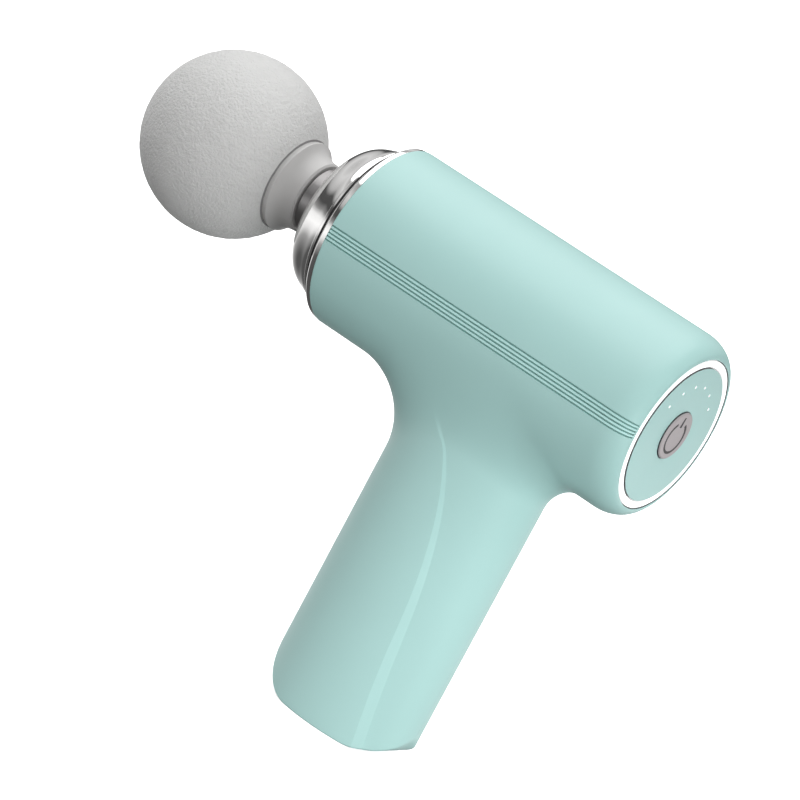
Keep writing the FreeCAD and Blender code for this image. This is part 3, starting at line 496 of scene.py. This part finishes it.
def skin_patches():
    """The left half's grids: the barrel's top, its underside behind and in front, block, handle and base."""
    rows = barrel_rows()
    angles = np.array([angle for angle, _ in rows])
    depths = np.array([depth for _, depth in rows])
    stations, first, last = barrel_stations()
    along = np.array([x for x, _ in stations])[:, None]
    radii = np.array([radius for _, radius in stations])[:, None]
    top = groove_sink(barrel_points(along, radii, angles[None, :]), stations, angles[None, :], depths)
    lower = np.linspace(BLOCK_TOP, math.pi, SIDE_ROWS + 1)
    behind = barrel_points(along[:first + 1], radii[:first + 1], lower[None, :])
    ahead = barrel_points(along[last:], radii[last:], lower[None, :])
    turn = join_columns()
    join = join_curve(turn)
    block_x = along[first:last + 1, 0]
    border_x = np.r_[np.full(SIDE_ROWS, BLOCK_FRONT), block_x[::-1], np.full(SIDE_ROWS, BLOCK_REAR)]
    border_turn = np.r_[lower[::-1][:-1], np.full(len(block_x), BLOCK_TOP), lower[1:]]
    join_turn = np.arctan2(join[:, 1], join[:, 2] - AXIS_Z)
    join_turn[[0, -1]] = math.pi
    steps = np.linspace(0, 1, BLOCK_ROWS)
    block_along = join[None, :, 0] * (1 - steps[:, None]) + border_x[None, :] * steps[:, None]
    block_turn = join_turn[None, :] * (1 - steps[:, None]) + border_turn[None, :] * steps[:, None]
    block = barrel_points(block_along, np.full(block_along.shape, BARREL_RADIUS), block_turn)
    block[0] = join
    wall = handle_wall(turn, join)
    cap = base_cap(wall[0])
    return [top, behind, ahead, block, wall, cap]


def beside_opening(point):
    """Whether a point of the skin is on the rear opening's wall or its lip, where the wall is thinner."""
    return point.x < BARREL_REAR + 2 and math.hypot(point.y, point.z - AXIS_Z) < REAR_OPENING + 0.5


def housing_half(name, side):
    """One moulded half: the skin with a wall's thickness, its seam face and its lips."""
    points = []
    faces = []
    for patch in skin_patches():
        rows, columns = patch.shape[:2]
        faces += grid_faces(rows, columns, len(points))
        points += list(patch.reshape(-1, 3))
    points = np.array(points)
    points[:, 1] *= side
    item = object_from(name, points, faces, SKIN_SHARP_ANGLE)
    work = bmesh.new()
    work.from_mesh(item.data)
    bmesh.ops.remove_doubles(work, verts=work.verts, dist=4e-6)
    bmesh.ops.recalc_face_normals(work, faces=work.faces)
    probe = max(work.faces, key=lambda face: face.calc_center_median().y * side)
    if probe.normal.y * side < 0:
        bmesh.ops.reverse_faces(work, faces=work.faces)
    work.to_mesh(item.data)
    work.free()
    lip = [vertex.index for vertex in item.data.vertices if beside_opening(vertex.co / MM)]
    item.vertex_groups.new(name="lip").add(lip, 1.0, "REPLACE")
    thicken = item.modifiers.new("wall", "SOLIDIFY")
    thicken.vertex_group = "lip"
    thicken.invert_vertex_group = True
    thicken.thickness_vertex_group = LIP_WALL_SHARE
    thicken.thickness = WALL * MM
    thicken.offset = -1
    thicken.use_even_offset = False
    apply_modifiers(item)
    for vertex in item.data.vertices:
        if vertex.co.y * side < SEAM * MM:
            vertex.co.y = SEAM * MM * side
    shade(item, SKIN_SHARP_ANGLE)
    return item


def apply_modifiers(item):
    evaluated = item.evaluated_get(bpy.context.evaluated_depsgraph_get())
    mesh = bpy.data.meshes.new_from_object(evaluated)
    item.modifiers.clear()
    old = item.data
    item.data = mesh
    bpy.data.meshes.remove(old)


# ---------------------------------------------------------------------------------------------------------
# Front end: trim ring, gasket, dome, collar and ball
# ---------------------------------------------------------------------------------------------------------
def rounded(outline, radii):
    """Ease an outline's corners: each point's radius, with 0 for a corner that stays sharp."""
    steps = 5
    result = []
    count = len(outline)
    for index, radius in enumerate(radii):
        here = Vector(outline[index])
        if radius <= 0:
            result.append(tuple(here))
            continue
        before = (Vector(outline[index - 1]) - here).normalized()
        after = (Vector(outline[(index + 1) % count]) - here).normalized()
        for step in range(steps + 1):
            share = step / steps
            start = here + before * radius * (1 - share) ** 2
            end = after * radius * share ** 2
            result.append(tuple(start + end))
    return result


def trim_ring():
    low, high = cad_box("front_trim_ring")
    bore = cad_box("front_gasket")[1][1] - 1.4
    tail = 21.8
    seat = BARREL_FRONT + 0.05
    outline = [(low[0], bore), (low[0], tail), (seat, tail), (seat, high[1]), (high[0] - 0.55, high[1]),
               (high[0], high[1] - 0.5), (high[0], bore)]
    return lathe("trim_ring", rounded(outline, [0, 0, 0, 0.15, 0.25, 0.2, 0]), 192)


def dome_gasket():
    low, high = cad_box("front_gasket")
    bore = 20.2
    outline = [(low[0], bore), (low[0], high[1]), (high[0], high[1]), (high[0], bore)]
    return lathe("dome_gasket", rounded(outline, [0, 0.15, 0.3, 0]), 192)


def nose_dome():
    """The bright nose: a rolled bell over the seal's bore, on a tail that goes back to the chassis."""
    low, high = cad_box("front_dome")
    seal_low, seal_high = cad_box("shaft_seal")
    seal_front = seal_high[0] + 0.05
    seat = cad_box("front_gasket")[1][0] + 0.05
    edge = high[1] + 0.25
    bore = 9.4
    tail = 20.1
    spigot = 15.8
    front = high[0]
    bead = [(seat + 0.1, edge - 0.12)] + corner_arc((seat + 0.5, edge - 0.4), 0.4, 120, 10, 9)
    crest = [(seat + 1.05, edge - 0.62), (seat + 1.7, edge - 0.72), (57.3, 20.5), (59.8, 19.6), (61.9, 18.3),
             (63.35, 16.45), (front, 14.1), (front - 0.2, 12.2), (front - 0.9, 10.4), (front - 1.9, bore)]
    back = [(seal_front, bore), (seal_front, 10.8), (seal_low[0], 10.8), (seal_low[0], 13.5),
            (55.5, spigot), (low[0], spigot), (low[0], tail), (seat, tail), (seat, edge - 0.3)]
    return lathe("nose_dome", bead + smooth_curve(crest, 72) + back, 192)


def collar_cup():
    """The flared collar behind the ball, hollowed to the ball's shape."""
    low, high = cad_box("head_collar")
    rear = low[0]
    lip = high[1] - 0.05
    bore = 5.45
    flare = [(rear + 0.5, 9.4), (rear + 2.4, 9.65), (rear + 4.6, lip - 1.35), (rear + 6.0, lip)]
    centre = BALL_LOW[0] + BALL_HIGH[1]
    hollow = BALL_HIGH[1] + 0.2
    inner = [(centre - math.sqrt(hollow ** 2 - r * r), r) for r in np.linspace(11.6, 7.1, 10)]
    tail = [(inner[-1][0], bore), (rear, bore), (rear, 9.0)]
    front = [(rear + 6.45, lip - 0.02), (rear + 6.7, lip - 0.16)]
    return lathe("collar_cup", smooth_curve(flare, 40) + front + inner + tail, 160)


GRAIN_WAVES = 56
GRAIN_DEPTH = 0.028


def grain(points):
    """Fine pebbled leather grain: heights from a fixed set of overlapping waves, about -1 to 1."""
    random = np.random.default_rng(11)
    heights = np.zeros(len(points))
    for _ in range(GRAIN_WAVES):
        direction = random.normal(size=3)
        direction /= np.linalg.norm(direction)
        pitch = random.uniform(1.5, 3.2)
        heights += np.sin(points @ direction * (2 * math.pi / pitch) + random.uniform(0, 2 * math.pi))
    return heights / math.sqrt(GRAIN_WAVES / 2)


# The radius within which the ball's skin behind the collar is darkened: painted shade for the gap under the
# collar's lip.
COLLAR_GAP = 12.2


def head_ball():
    """The ball, with its grain in the mesh and the stem's bore behind."""
    radius = BALL_HIGH[1]
    centre = BALL_HIGH[0] - radius
    bore = 7.02
    start = math.asin(bore / radius)
    line = math.asin(COLLAR_GAP / radius)
    turns = np.r_[np.linspace(start, line, 14), np.linspace(line, math.pi, 136)[1:]]
    skin = [(centre - radius * math.cos(turn), max(radius * math.sin(turn), 0.0)) for turn in turns]
    skin[-1] = (centre + radius, 0.0)
    end = cad_box("head_stem")[1][0] + 0.05
    item = lathe("head_ball", skin + [(end, 0.0), (end, bore)], 280, 50)
    points = np.array([vertex.co for vertex in item.data.vertices]) / MM
    away = points - np.array([centre, 0.0, AXIS_Z])
    reach = np.linalg.norm(away, axis=1)
    clear_of_bore = (np.hypot(away[:, 1], away[:, 2]) > bore + 0.3) | (away[:, 0] > 10)
    grained = clear_of_bore & (reach > radius - 0.01)
    sink = np.where(grained, GRAIN_DEPTH * (grain(points) - 1.6).clip(-3.2, 0), 0.0)
    points += away / np.maximum(reach, 1e-6)[:, None] * sink[:, None]
    item.data.vertices.foreach_set("co", (points * MM).astype(np.float32).ravel())
    item.data.update()
    return item


# ---------------------------------------------------------------------------------------------------------
# Rear end: cover, glowing ring, indicator lights and button
# ---------------------------------------------------------------------------------------------------------
DOT_CIRCLE = 12.95
DOT_ANGLES = [32.6 + 22.4 * index for index in range(6)]
DOT_RADIUS = 0.4


def round_hole_disc(name, rear, front, radius, bore, holes, hole_radius, ease):
    """A flat round plate with a middle hole and small holes, its rims eased, facing the rear."""
    item = lathe(name, rounded([(rear, bore), (rear, radius), (front, radius), (front, bore)],
                               [ease, ease, 0.1, 0.1]), 160)
    drills = []
    start = rear - 4
    end = front + 4
    for y, z in holes:
        drill = lathe("drill", [(start, 0), (start, hole_radius), (end, hole_radius), (end, 0)], 32)
        drill.data.transform(Matrix.Translation((0, y * MM, (z - AXIS_Z) * MM)))
        drills.append(drill)
    for drill in drills:
        bite = item.modifiers.new("hole", "BOOLEAN")
        bite.object = drill
        bite.operation = "DIFFERENCE"
        bite.solver = "EXACT"
    apply_modifiers(item)
    for drill in drills:
        bpy.data.objects.remove(drill)
    shade(item, 25)
    return item


def dot_places():
    """The (y, z) places of the indicator lights."""
    turns = [math.radians(angle) for angle in DOT_ANGLES]
    return [(DOT_CIRCLE * math.cos(turn), AXIS_Z + DOT_CIRCLE * math.sin(turn)) for turn in turns]


def rear_cover():
    low, high = cad_box("rear_panel")
    bore = cad_box("power_button")[1][1] + 0.12
    rear = low[0] + 0.12
    hole_radius = DOT_RADIUS + 0.03
    return round_hole_disc("rear_cover", rear, high[0], high[1], bore, dot_places(), hole_radius, 0.08)


def recolour(item, slot, chosen):
    """Give the faces whose middle (x, y, height over the axis) and normal pass the test another finish."""
    item.data.materials.append(FINISHES[slot])
    index = len(item.data.materials) - 1
    for face in item.data.polygons:
        x, y, z = face.center / MM
        if chosen(x, y, z - AXIS_Z, face.normal):
            face.material_index = index


# The radii outside which the cover's and the button's eased rims are dark: painted shade for the gaps beside
# them.
COVER_RIM = 17.6
BUTTON_RIM = 6.1


# Painted shade: the shell's wall round the rear opening takes the dark moulding, for the shadow in the gap
# outside the glowing ring.
def painted_opening_shade(x, y, up, normal):
    return x < BARREL_REAR + 3 and math.hypot(y, up) < REAR_OPENING + 0.05


# Painted shade: the cover's eased outer rim takes the dark moulding, for the shadow in the gap inside the
# glowing ring.
def painted_cover_rim_shade(x, y, up, normal):
    return math.hypot(y, up) > COVER_RIM and abs(normal.x) < 0.6


# Painted shade: the button's side wall takes the dark moulding, for the shaded crescent round the button.
def painted_button_rim_shade(x, y, up, normal):
    return math.hypot(y, up) > BUTTON_RIM and abs(normal.x) < 0.5


# Painted shade: the ball's skin just behind the collar's lip takes a darker grey.
def painted_collar_gap_shade(x, y, up, normal):
    return x < BALL_LOW[0] + 8 and math.hypot(y, up) < COLLAR_GAP


def grooved_band(x, y, up, normal):
    """How far a face on the outside of the grooved band is from the band's middle, or None elsewhere."""
    across = (math.atan2(abs(y), up) - math.pi / 2) * BARREL_RADIUS - GROOVE_CENTRE
    outward = normal.y * math.copysign(1, y) - normal.x > 0.5 and math.hypot(y, up) > REAR_OPENING + 0.6
    on_skin = math.hypot(y, up) > BARREL_RADIUS - 0.8 or x < BARREL_REAR + 4.0
    within = abs(across) < (GROOVE_COUNT - 1) / 2 * GROOVE_PITCH + GROOVE_HALF
    return across if outward and on_skin and within else None


# Painted shade: the groove floors take a darker mint, on top of the shadow that their real depth gives.
def painted_groove_shade(x, y, up, normal):
    across = grooved_band(x, y, up, normal)
    if across is None:
        return False
    return abs(across - round(across / GROOVE_PITCH) * GROOVE_PITCH) < GROOVE_HALF * 0.8


# Painted highlight: the thin ridges between the grooves take a lighter, glossier mint.
def painted_ridge_highlight(x, y, up, normal):
    across = grooved_band(x, y, up, normal)
    if across is None:
        return False
    return abs(across - round(across / GROOVE_PITCH) * GROOVE_PITCH) > GROOVE_HALF


def halo_ring():
    low, high = cad_box("light_ring")
    bore = cad_box("rear_panel")[1][1] + 0.3
    rear = low[0] + 0.1
    radius = high[1] - 0.02
    outline = [(rear, bore), (rear, radius), (high[0], radius), (high[0], bore)]
    return lathe("halo_ring", rounded(outline, [0.08, 0.08, 0.1, 0.1]), 192)


def merged(name, meshes):
    """One object from several, joined as they are."""
    work = bmesh.new()
    for item in meshes:
        work.from_mesh(item.data)
        bpy.data.objects.remove(item)
    mesh = bpy.data.meshes.new(name)
    work.to_mesh(mesh)
    work.free()
    return new_object(name, mesh)


def dot_lights():
    """Six small domed lenses in an arc over the button."""
    low, high = cad_box("indicator_lenses")
    rear = low[0] + 0.1
    outline = [(rear, 0.0), (rear + 0.02, 0.16), (rear + 0.07, 0.3), (rear + 0.16, DOT_RADIUS),
               (high[0], DOT_RADIUS), (high[0], 0.0)]
    lenses = []
    for y, z in dot_places():
        lens = lathe("lens", outline, 24)
        for vertex in lens.data.vertices:
            vertex.co.y += y * MM
            vertex.co.z += (z - AXIS_Z) * MM
        lenses.append(lens)
    item = merged("dot_lights", lenses)
    shade(item, 40)
    return item


def mark_outlines(grow):
    """Closed (y, z) outlines of the mark about the button's middle: an open ring and its bar."""
    gap = math.radians(30) - grow / 4
    outer = 4.25 + grow
    inner = 3.57 - grow
    turns = np.linspace(gap, 2 * math.pi - gap, 72)
    drop = 0.5
    ring = [(math.sin(a) * outer, math.cos(a) * outer - drop) for a in turns]
    ring += [(math.sin(a) * inner, math.cos(a) * inner - drop) for a in turns[::-1]]
    half = 0.38 + grow
    bar = [(-half, 2.2 - grow), (half, 2.2 - grow), (half, 4.9 + grow), (-half, 4.9 + grow)]
    return [ring, bar]


def mark_solid(name, rear, front, grow):
    """The mark as a closed solid between two stations, its outlines grown or shrunk a little."""
    points = []
    faces = []
    for outline in mark_outlines(grow):
        start = len(points)
        count = len(outline)
        for x in (rear, front):
            points += [(x, y, AXIS_Z + z) for y, z in outline]
        for index in range(count):
            after = (index + 1) % count
            faces.append((start + index, start + after, start + count + after, start + count + index))
        for level in (start, start + count):
            last = level + count - 1
            for index in range(count // 2 - 1):
                faces.append((level + index, level + index + 1, last - 1 - index, last - index))
    item = object_from(name, points, faces)
    tidy_normals(item)
    return item


def push_button():
    """The button: an eased rim, a shallow dish for the finger and a groove that holds the mark."""
    low, high = cad_box("power_button")
    rear = low[0]
    radius = high[1]
    dish = [(rear + 0.2 - r * r / 180.0, r) for r in np.linspace(0, radius - 0.55, 24)]
    rim = [(rear + 0.02, radius - 0.42), (rear + 0.07, radius - 0.27), (rear + 0.16, radius - 0.13),
           (rear + 0.3, radius - 0.03), (rear + 0.42, radius)]
    back = BARREL_REAR + 3.0
    skirt = [(back, radius), (back, radius - 1.2), (high[0], radius - 1.2), (high[0], 0.0)]
    item = lathe("push_button", dish + rim + skirt, 128)
    tool = mark_solid("mark_tool", rear - 0.5, rear + 0.62, 0.0)
    bite = item.modifiers.new("mark", "BOOLEAN")
    bite.object = tool
    bite.operation = "DIFFERENCE"
    bite.solver = "EXACT"
    apply_modifiers(item)
    bpy.data.objects.remove(tool)
    shade(item, 25)
    return item


def power_symbol():
    low, _ = cad_box("button_mark")
    return mark_solid("power_symbol", low[0] + 0.1, low[0] + 0.6, -0.01)


# ---------------------------------------------------------------------------------------------------------
# Materials
# ---------------------------------------------------------------------------------------------------------
def ramp(tree, source, stops):
    """A colour ramp on a value, from (place, colour) stops."""
    node = tree.nodes.new("ShaderNodeValToRGB")
    elements = node.color_ramp.elements
    while len(elements) < len(stops):
        elements.new(0.5)
    for element, (place, colour) in zip(elements, stops):
        element.position = place
        element.color = (*colour, 1)
    tree.links.new(source, node.inputs["Fac"])
    return node.outputs["Color"]


def noise(tree, scale, detail, roughness, stretch):
    """Noise in the object's own space; the scale is in features per metre."""
    place = tree.nodes.new("ShaderNodeTexCoord")
    shape = tree.nodes.new("ShaderNodeMapping")
    shape.inputs["Scale"].default_value = stretch
    node = tree.nodes.new("ShaderNodeTexNoise")
    node.inputs["Scale"].default_value = scale
    node.inputs["Detail"].default_value = detail
    node.inputs["Roughness"].default_value = roughness
    tree.links.new(place.outputs["Object"], shape.inputs["Vector"])
    tree.links.new(shape.outputs["Vector"], node.inputs["Vector"])
    return node.outputs["Fac"]


def in_range(tree, source, low, high):
    """Noise, which stays near its middle, spread over a range."""
    node = tree.nodes.new("ShaderNodeMapRange")
    node.inputs["From Min"].default_value = 0.3
    node.inputs["From Max"].default_value = 0.7
    node.inputs["To Min"].default_value = low
    node.inputs["To Max"].default_value = high
    tree.links.new(source, node.inputs["Value"])
    return node.outputs["Result"]


def bump(tree, height, strength, depth):
    node = tree.nodes.new("ShaderNodeBump")
    node.inputs["Strength"].default_value = strength
    node.inputs["Distance"].default_value = depth
    tree.links.new(height, node.inputs["Height"])
    return node.outputs["Normal"]


def finish(name, colours, rough, patch=60.0, grain_scale=4000.0, grain_strength=0.05, stretch=(1, 1, 1),
           depth=0.0001, **sockets):
    """A finish with slight colour drift, uneven gloss and a fine surface grain."""
    material = bpy.data.materials.new(name)
    material.use_nodes = True
    tree = material.node_tree
    shader = tree.nodes["Principled BSDF"]
    drift = noise(tree, patch, 4.0, 0.55, stretch)
    stops = [(0.32 + 0.36 * index / (len(colours) - 1), colour) for index, colour in enumerate(colours)]
    tree.links.new(ramp(tree, drift, stops), shader.inputs["Base Color"])
    fine = noise(tree, grain_scale, 2.0, 0.6, stretch)
    gloss = in_range(tree, noise(tree, patch * 5, 3.0, 0.6, stretch), *rough)
    tree.links.new(gloss, shader.inputs["Roughness"])
    tree.links.new(bump(tree, fine, grain_strength, depth), shader.inputs["Normal"])
    for socket, value in sockets.items():
        shader.inputs[socket.replace("_", " ")].default_value = value
    material.diffuse_color = (*colours[len(colours) // 2], 1)
    return material


def tint(red, green, blue, spread):
    """Two linear colours just darker and lighter than an sRGB one (0 to 255)."""
    base = np.array([red, green, blue]) / 255.0
    linear = np.where(base <= 0.04045, base / 12.92, ((base + 0.055) / 1.055) ** 2.4)
    return [tuple(linear * (1 - spread)), tuple(np.minimum(linear * (1 + spread), 1))]


FINISHES = {
    "shell": finish("mint_satin_plastic", tint(179, 221, 217, 0.012), (0.38, 0.44), 40, 5200, 0.03,
                    Coat_Weight=0.15, Coat_Roughness=0.32, Specular_IOR_Level=0.45),
    # Painted shade for the groove floors.
    "groove": finish("mint_groove_painted_shade", tint(128, 168, 163, 0.02), (0.5, 0.6), 40, 5200, 0.03),
    # Painted highlight for the ridges between the grooves.
    "ridge": finish("mint_ridge_painted_highlight", tint(196, 240, 236, 0.012), (0.3, 0.36), 40, 5200, 0.03),
    # Painted shade for the gap between the collar's lip and the ball.
    "gap_shade": finish("grey_painted_gap_shade", tint(136, 135, 135, 0.02), (0.6, 0.7), 150, 5000, 0.05),
    "chrome": finish("polished_chrome", tint(236, 235, 234, 0.02), (0.05, 0.10), 90, 2500, 0.006,
                     Metallic=1.0),
    "black_rubber": finish("black_rubber", tint(34, 34, 36, 0.1), (0.5, 0.65), 200, 6000, 0.15),
    "bronze": finish("sintered_bronze", tint(158, 118, 70, 0.12), (0.3, 0.45), 400, 7000, 0.2, Metallic=1.0),
    "casting": finish("cast_alloy", tint(158, 160, 162, 0.08), (0.42, 0.6), 300, 3500, 0.3, Metallic=0.9),
    "steel": finish("bright_steel", tint(176, 176, 178, 0.06), (0.2, 0.34), 300, 5000, 0.06, Metallic=1.0),
    "magnet": finish("plated_magnet", tint(120, 120, 124, 0.08), (0.25, 0.4), 300, 5000, 0.08, Metallic=1.0),
    "copper": finish("enamelled_copper", tint(178, 98, 52, 0.12), (0.22, 0.36), 500, 2600, 0.5, (1, 4, 1),
                     Metallic=0.9),
    "nickel": finish("nickel_strip", tint(190, 188, 180, 0.05), (0.22, 0.36), 300, 5000, 0.06, Metallic=1.0),
    "black_plastic": finish("black_moulding", tint(38, 39, 42, 0.1), (0.38, 0.52), 200, 5000, 0.12),
    "white_plastic": finish("white_moulding", tint(226, 226, 220, 0.02), (0.35, 0.5), 200, 5000, 0.08),
    "light_window": finish("milky_window", tint(244, 246, 246, 0.01), (0.25, 0.35), 200, 5000, 0.02,
                           Emission_Color=(1, 1, 1, 1), Emission_Strength=0.55),
    "circuit_board": finish("green_board", tint(28, 92, 58, 0.15), (0.3, 0.45), 700, 4000, 0.15),
    "wire_black": finish("black_wire_sleeve", tint(30, 30, 32, 0.1), (0.3, 0.45), 300, 4000, 0.1),
    "wire_red": finish("red_wire_sleeve", tint(168, 28, 26, 0.08), (0.3, 0.45), 300, 4000, 0.1),
    "cell_sleeve": finish("cell_sleeve_film", tint(52, 104, 150, 0.06), (0.25, 0.4), 120, 3000, 0.08),
    "piston": finish("ground_dark_steel", tint(146, 144, 144, 0.05), (0.28, 0.4), 120, 3000, 0.2, (0.1, 1, 1),
                     Metallic=0.75),
    # Dark moulding for the dark CAD parts, also laid as painted shade on the rims beside the glowing ring and
    # the button.
    "dark_plastic": finish("dark_moulding_and_painted_shade", tint(66, 67, 70, 0.08), (0.4, 0.52), 200, 5000, 0.12),
    "head_collar": finish("grey_collar_plastic", tint(201, 200, 199, 0.015), (0.36, 0.46), 90, 5000, 0.05),
    "head_ball": finish("grained_grey_foam", tint(218, 218, 217, 0.02), (0.5, 0.62), 150, 1500, 1.0,
                        depth=0.0004),
    "button": finish("grey_button_plastic", tint(178, 171, 173, 0.02), (0.34, 0.44), 120, 5000, 0.06),
    "mark": finish("dark_mark_paint", tint(50, 44, 46, 0.05), (0.4, 0.5), 300, 5000, 0.06),
}


def dress(item, slot):
    item.data.materials.clear()
    item.data.materials.append(FINISHES[slot])


for subpart in frame["record"]["subparts"]:
    dress(frame["nodes"][subpart["node"]], subpart["material_slot"])


# ---------------------------------------------------------------------------------------------------------
# Pieces in place of the plain CAD ones
# ---------------------------------------------------------------------------------------------------------
def stand_in(item, body, slot, *nodes):
    """Give a piece its finish, its body and the CAD nodes that it stands for."""
    dress(item, slot)
    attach(item, body)
    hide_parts(*nodes)


for side, name, node in ((1, "left_housing", "left_shell"), (-1, "right_housing", "right_shell")):
    half = housing_half(name, side)
    stand_in(half, "housing", "shell", node)
    # Painted shade on the wall round the rear opening.
    recolour(half, "dark_plastic", painted_opening_shade)
    # Painted shade in the groove floors.
    recolour(half, "groove", painted_groove_shade)
    # Painted highlight on the ridges between the grooves.
    recolour(half, "ridge", painted_ridge_highlight)
stand_in(trim_ring(), "housing", "chrome", "front_trim_ring")
stand_in(dome_gasket(), "housing", "black_rubber", "front_gasket")
stand_in(nose_dome(), "housing", "chrome", "front_dome")
cover = rear_cover()
stand_in(cover, "housing", "shell", "rear_panel")
# Painted shade on the cover's outer rim.
recolour(cover, "dark_plastic", painted_cover_rim_shade)
stand_in(halo_ring(), "housing", "light_window", "light_ring")
stand_in(dot_lights(), "housing", "light_window", "indicator_lenses")
stand_in(collar_cup(), "head", "head_collar", "head_collar")
ball = head_ball()
stand_in(ball, "head", "head_ball", "massage_ball")
# Painted shade on the ball behind the collar's lip.
recolour(ball, "gap_shade", painted_collar_gap_shade)
key = push_button()
stand_in(key, "button", "button", "power_button")
# Painted shade on the button's side wall.
recolour(key, "dark_plastic", painted_button_rim_shade)
stand_in(power_symbol(), "button", "mark", "button_mark")


# ---------------------------------------------------------------------------------------------------------
# Floor, light and camera
# ---------------------------------------------------------------------------------------------------------
def floor():
    """A plain pale floor that glows evenly and throws no light on the object."""
    reach = 9000.0
    lines = 9
    steps = np.linspace(-reach, reach, lines)
    points = [(x, y, 0.0) for y in steps for x in steps]
    item = object_from("studio_floor", points, grid_faces(lines, lines, 0))
    item.data.materials.append(finish("pale_floor", tint(244, 244, 244, 0.004), (0.8, 0.9), 3, 900, 0.02,
                                      Emission_Color=(1, 1, 1, 1), Emission_Strength=0.8))
    item.visible_diffuse = False
    item.visible_glossy = False


def area_light(name, place, target, width, height, power, spread):
    lamp = bpy.data.lights.new(name, "AREA")
    lamp.shape = "RECTANGLE"
    lamp.size = width * MM
    lamp.size_y = height * MM
    lamp.energy = power
    lamp.spread = math.radians(spread)
    item = new_object(name, lamp)
    direction = Vector(target) - Vector(place)
    item.location = Vector(place) * MM
    item.rotation_euler = direction.to_track_quat("-Z", "Y").to_euler()
    item.visible_glossy = False


def sun_light(name, place, target, spread, strength):
    lamp = bpy.data.lights.new(name, "SUN")
    lamp.angle = math.radians(spread)
    lamp.energy = strength
    item = new_object(name, lamp)
    item.location = Vector(place) * MM
    item.rotation_euler = (Vector(target) - Vector(place)).to_track_quat("-Z", "Y").to_euler()


# How bright the studio is from straight below (0) through the horizon (0.5) to straight above (1).
STUDIO_BANDS = [(0.0, 0.08), (0.18, 0.10), (0.27, 0.4), (0.32, 0.9), (0.38, 1.2), (0.44, 1.05), (0.49, 0.3),
                (0.545, 0.08), (0.61, 0.09), (0.66, 0.5), (0.75, 0.75), (0.82, 0.45), (0.9, 0.3), (1.0, 0.3)]


def surroundings():
    """A studio all round: soft boxes and dark flags in level bands, as bright metal shows them."""
    world = bpy.data.worlds.new("studio")
    bpy.context.scene.world = world
    world.use_nodes = True
    tree = world.node_tree
    backdrop = tree.nodes["Background"]
    place = tree.nodes.new("ShaderNodeTexCoord")
    split = tree.nodes.new("ShaderNodeSeparateXYZ")
    tree.links.new(place.outputs["Generated"], split.inputs["Vector"])
    level = tree.nodes.new("ShaderNodeMapRange")
    level.inputs["From Min"].default_value = -1.0
    level.inputs["From Max"].default_value = 1.0
    tree.links.new(split.outputs["Z"], level.inputs["Value"])
    stops = [(at, (value, value, value)) for at, value in STUDIO_BANDS]
    tree.links.new(ramp(tree, level.outputs["Result"], stops), backdrop.inputs["Color"])
    # Above the horizon the camera sees a plain pale wall, like the floor.
    wall = tree.nodes.new("ShaderNodeBackground")
    wall.inputs["Color"].default_value = (1, 1, 1, 1)
    ray = tree.nodes.new("ShaderNodeLightPath")
    choice = tree.nodes.new("ShaderNodeMixShader")
    tree.links.new(ray.outputs["Is Camera Ray"], choice.inputs["Fac"])
    tree.links.new(backdrop.outputs["Background"], choice.inputs[1])
    tree.links.new(wall.outputs["Background"], choice.inputs[2])
    tree.links.new(choice.outputs["Shader"], tree.nodes["World Output"].inputs["Surface"])


# The camera: its place, and the directions of its right, its top and its back.
CAMERA_PLACE = (-425.77, 955.37, 285.57)
CAMERA_RIGHT = (-0.7515073, -0.45966325, 0.47350414)
CAMERA_UP = (0.51020503, 0.05044219, 0.85872371)
CAMERA_BACK = (-0.41850644, 0.88668691, 0.19656804)


def camera():
    """A long lens, left and a little behind, rolled so that the barrel points up to the left."""
    lens = bpy.data.cameras.new("camera")
    lens.lens = 203.7
    lens.sensor_width = 36.0
    lens.clip_start = 0.01
    lens.clip_end = 60.0
    item = new_object("camera", lens)
    turn = Matrix((CAMERA_RIGHT, CAMERA_UP, CAMERA_BACK)).transposed().to_4x4()
    item.matrix_world = Matrix.Translation(Vector(CAMERA_PLACE) * MM) @ turn
    bpy.context.scene.camera = item


floor()
surroundings()
sun_light("overhead", (220, -20, 900), (0, 0, 90), 74, 2.24)
area_light("rear_left_softbox", (-312, 186, 46), (0, 0, 34), 220, 76, 0.1, 60)
camera()
bpy.context.scene.view_settings.view_transform = "Standard"
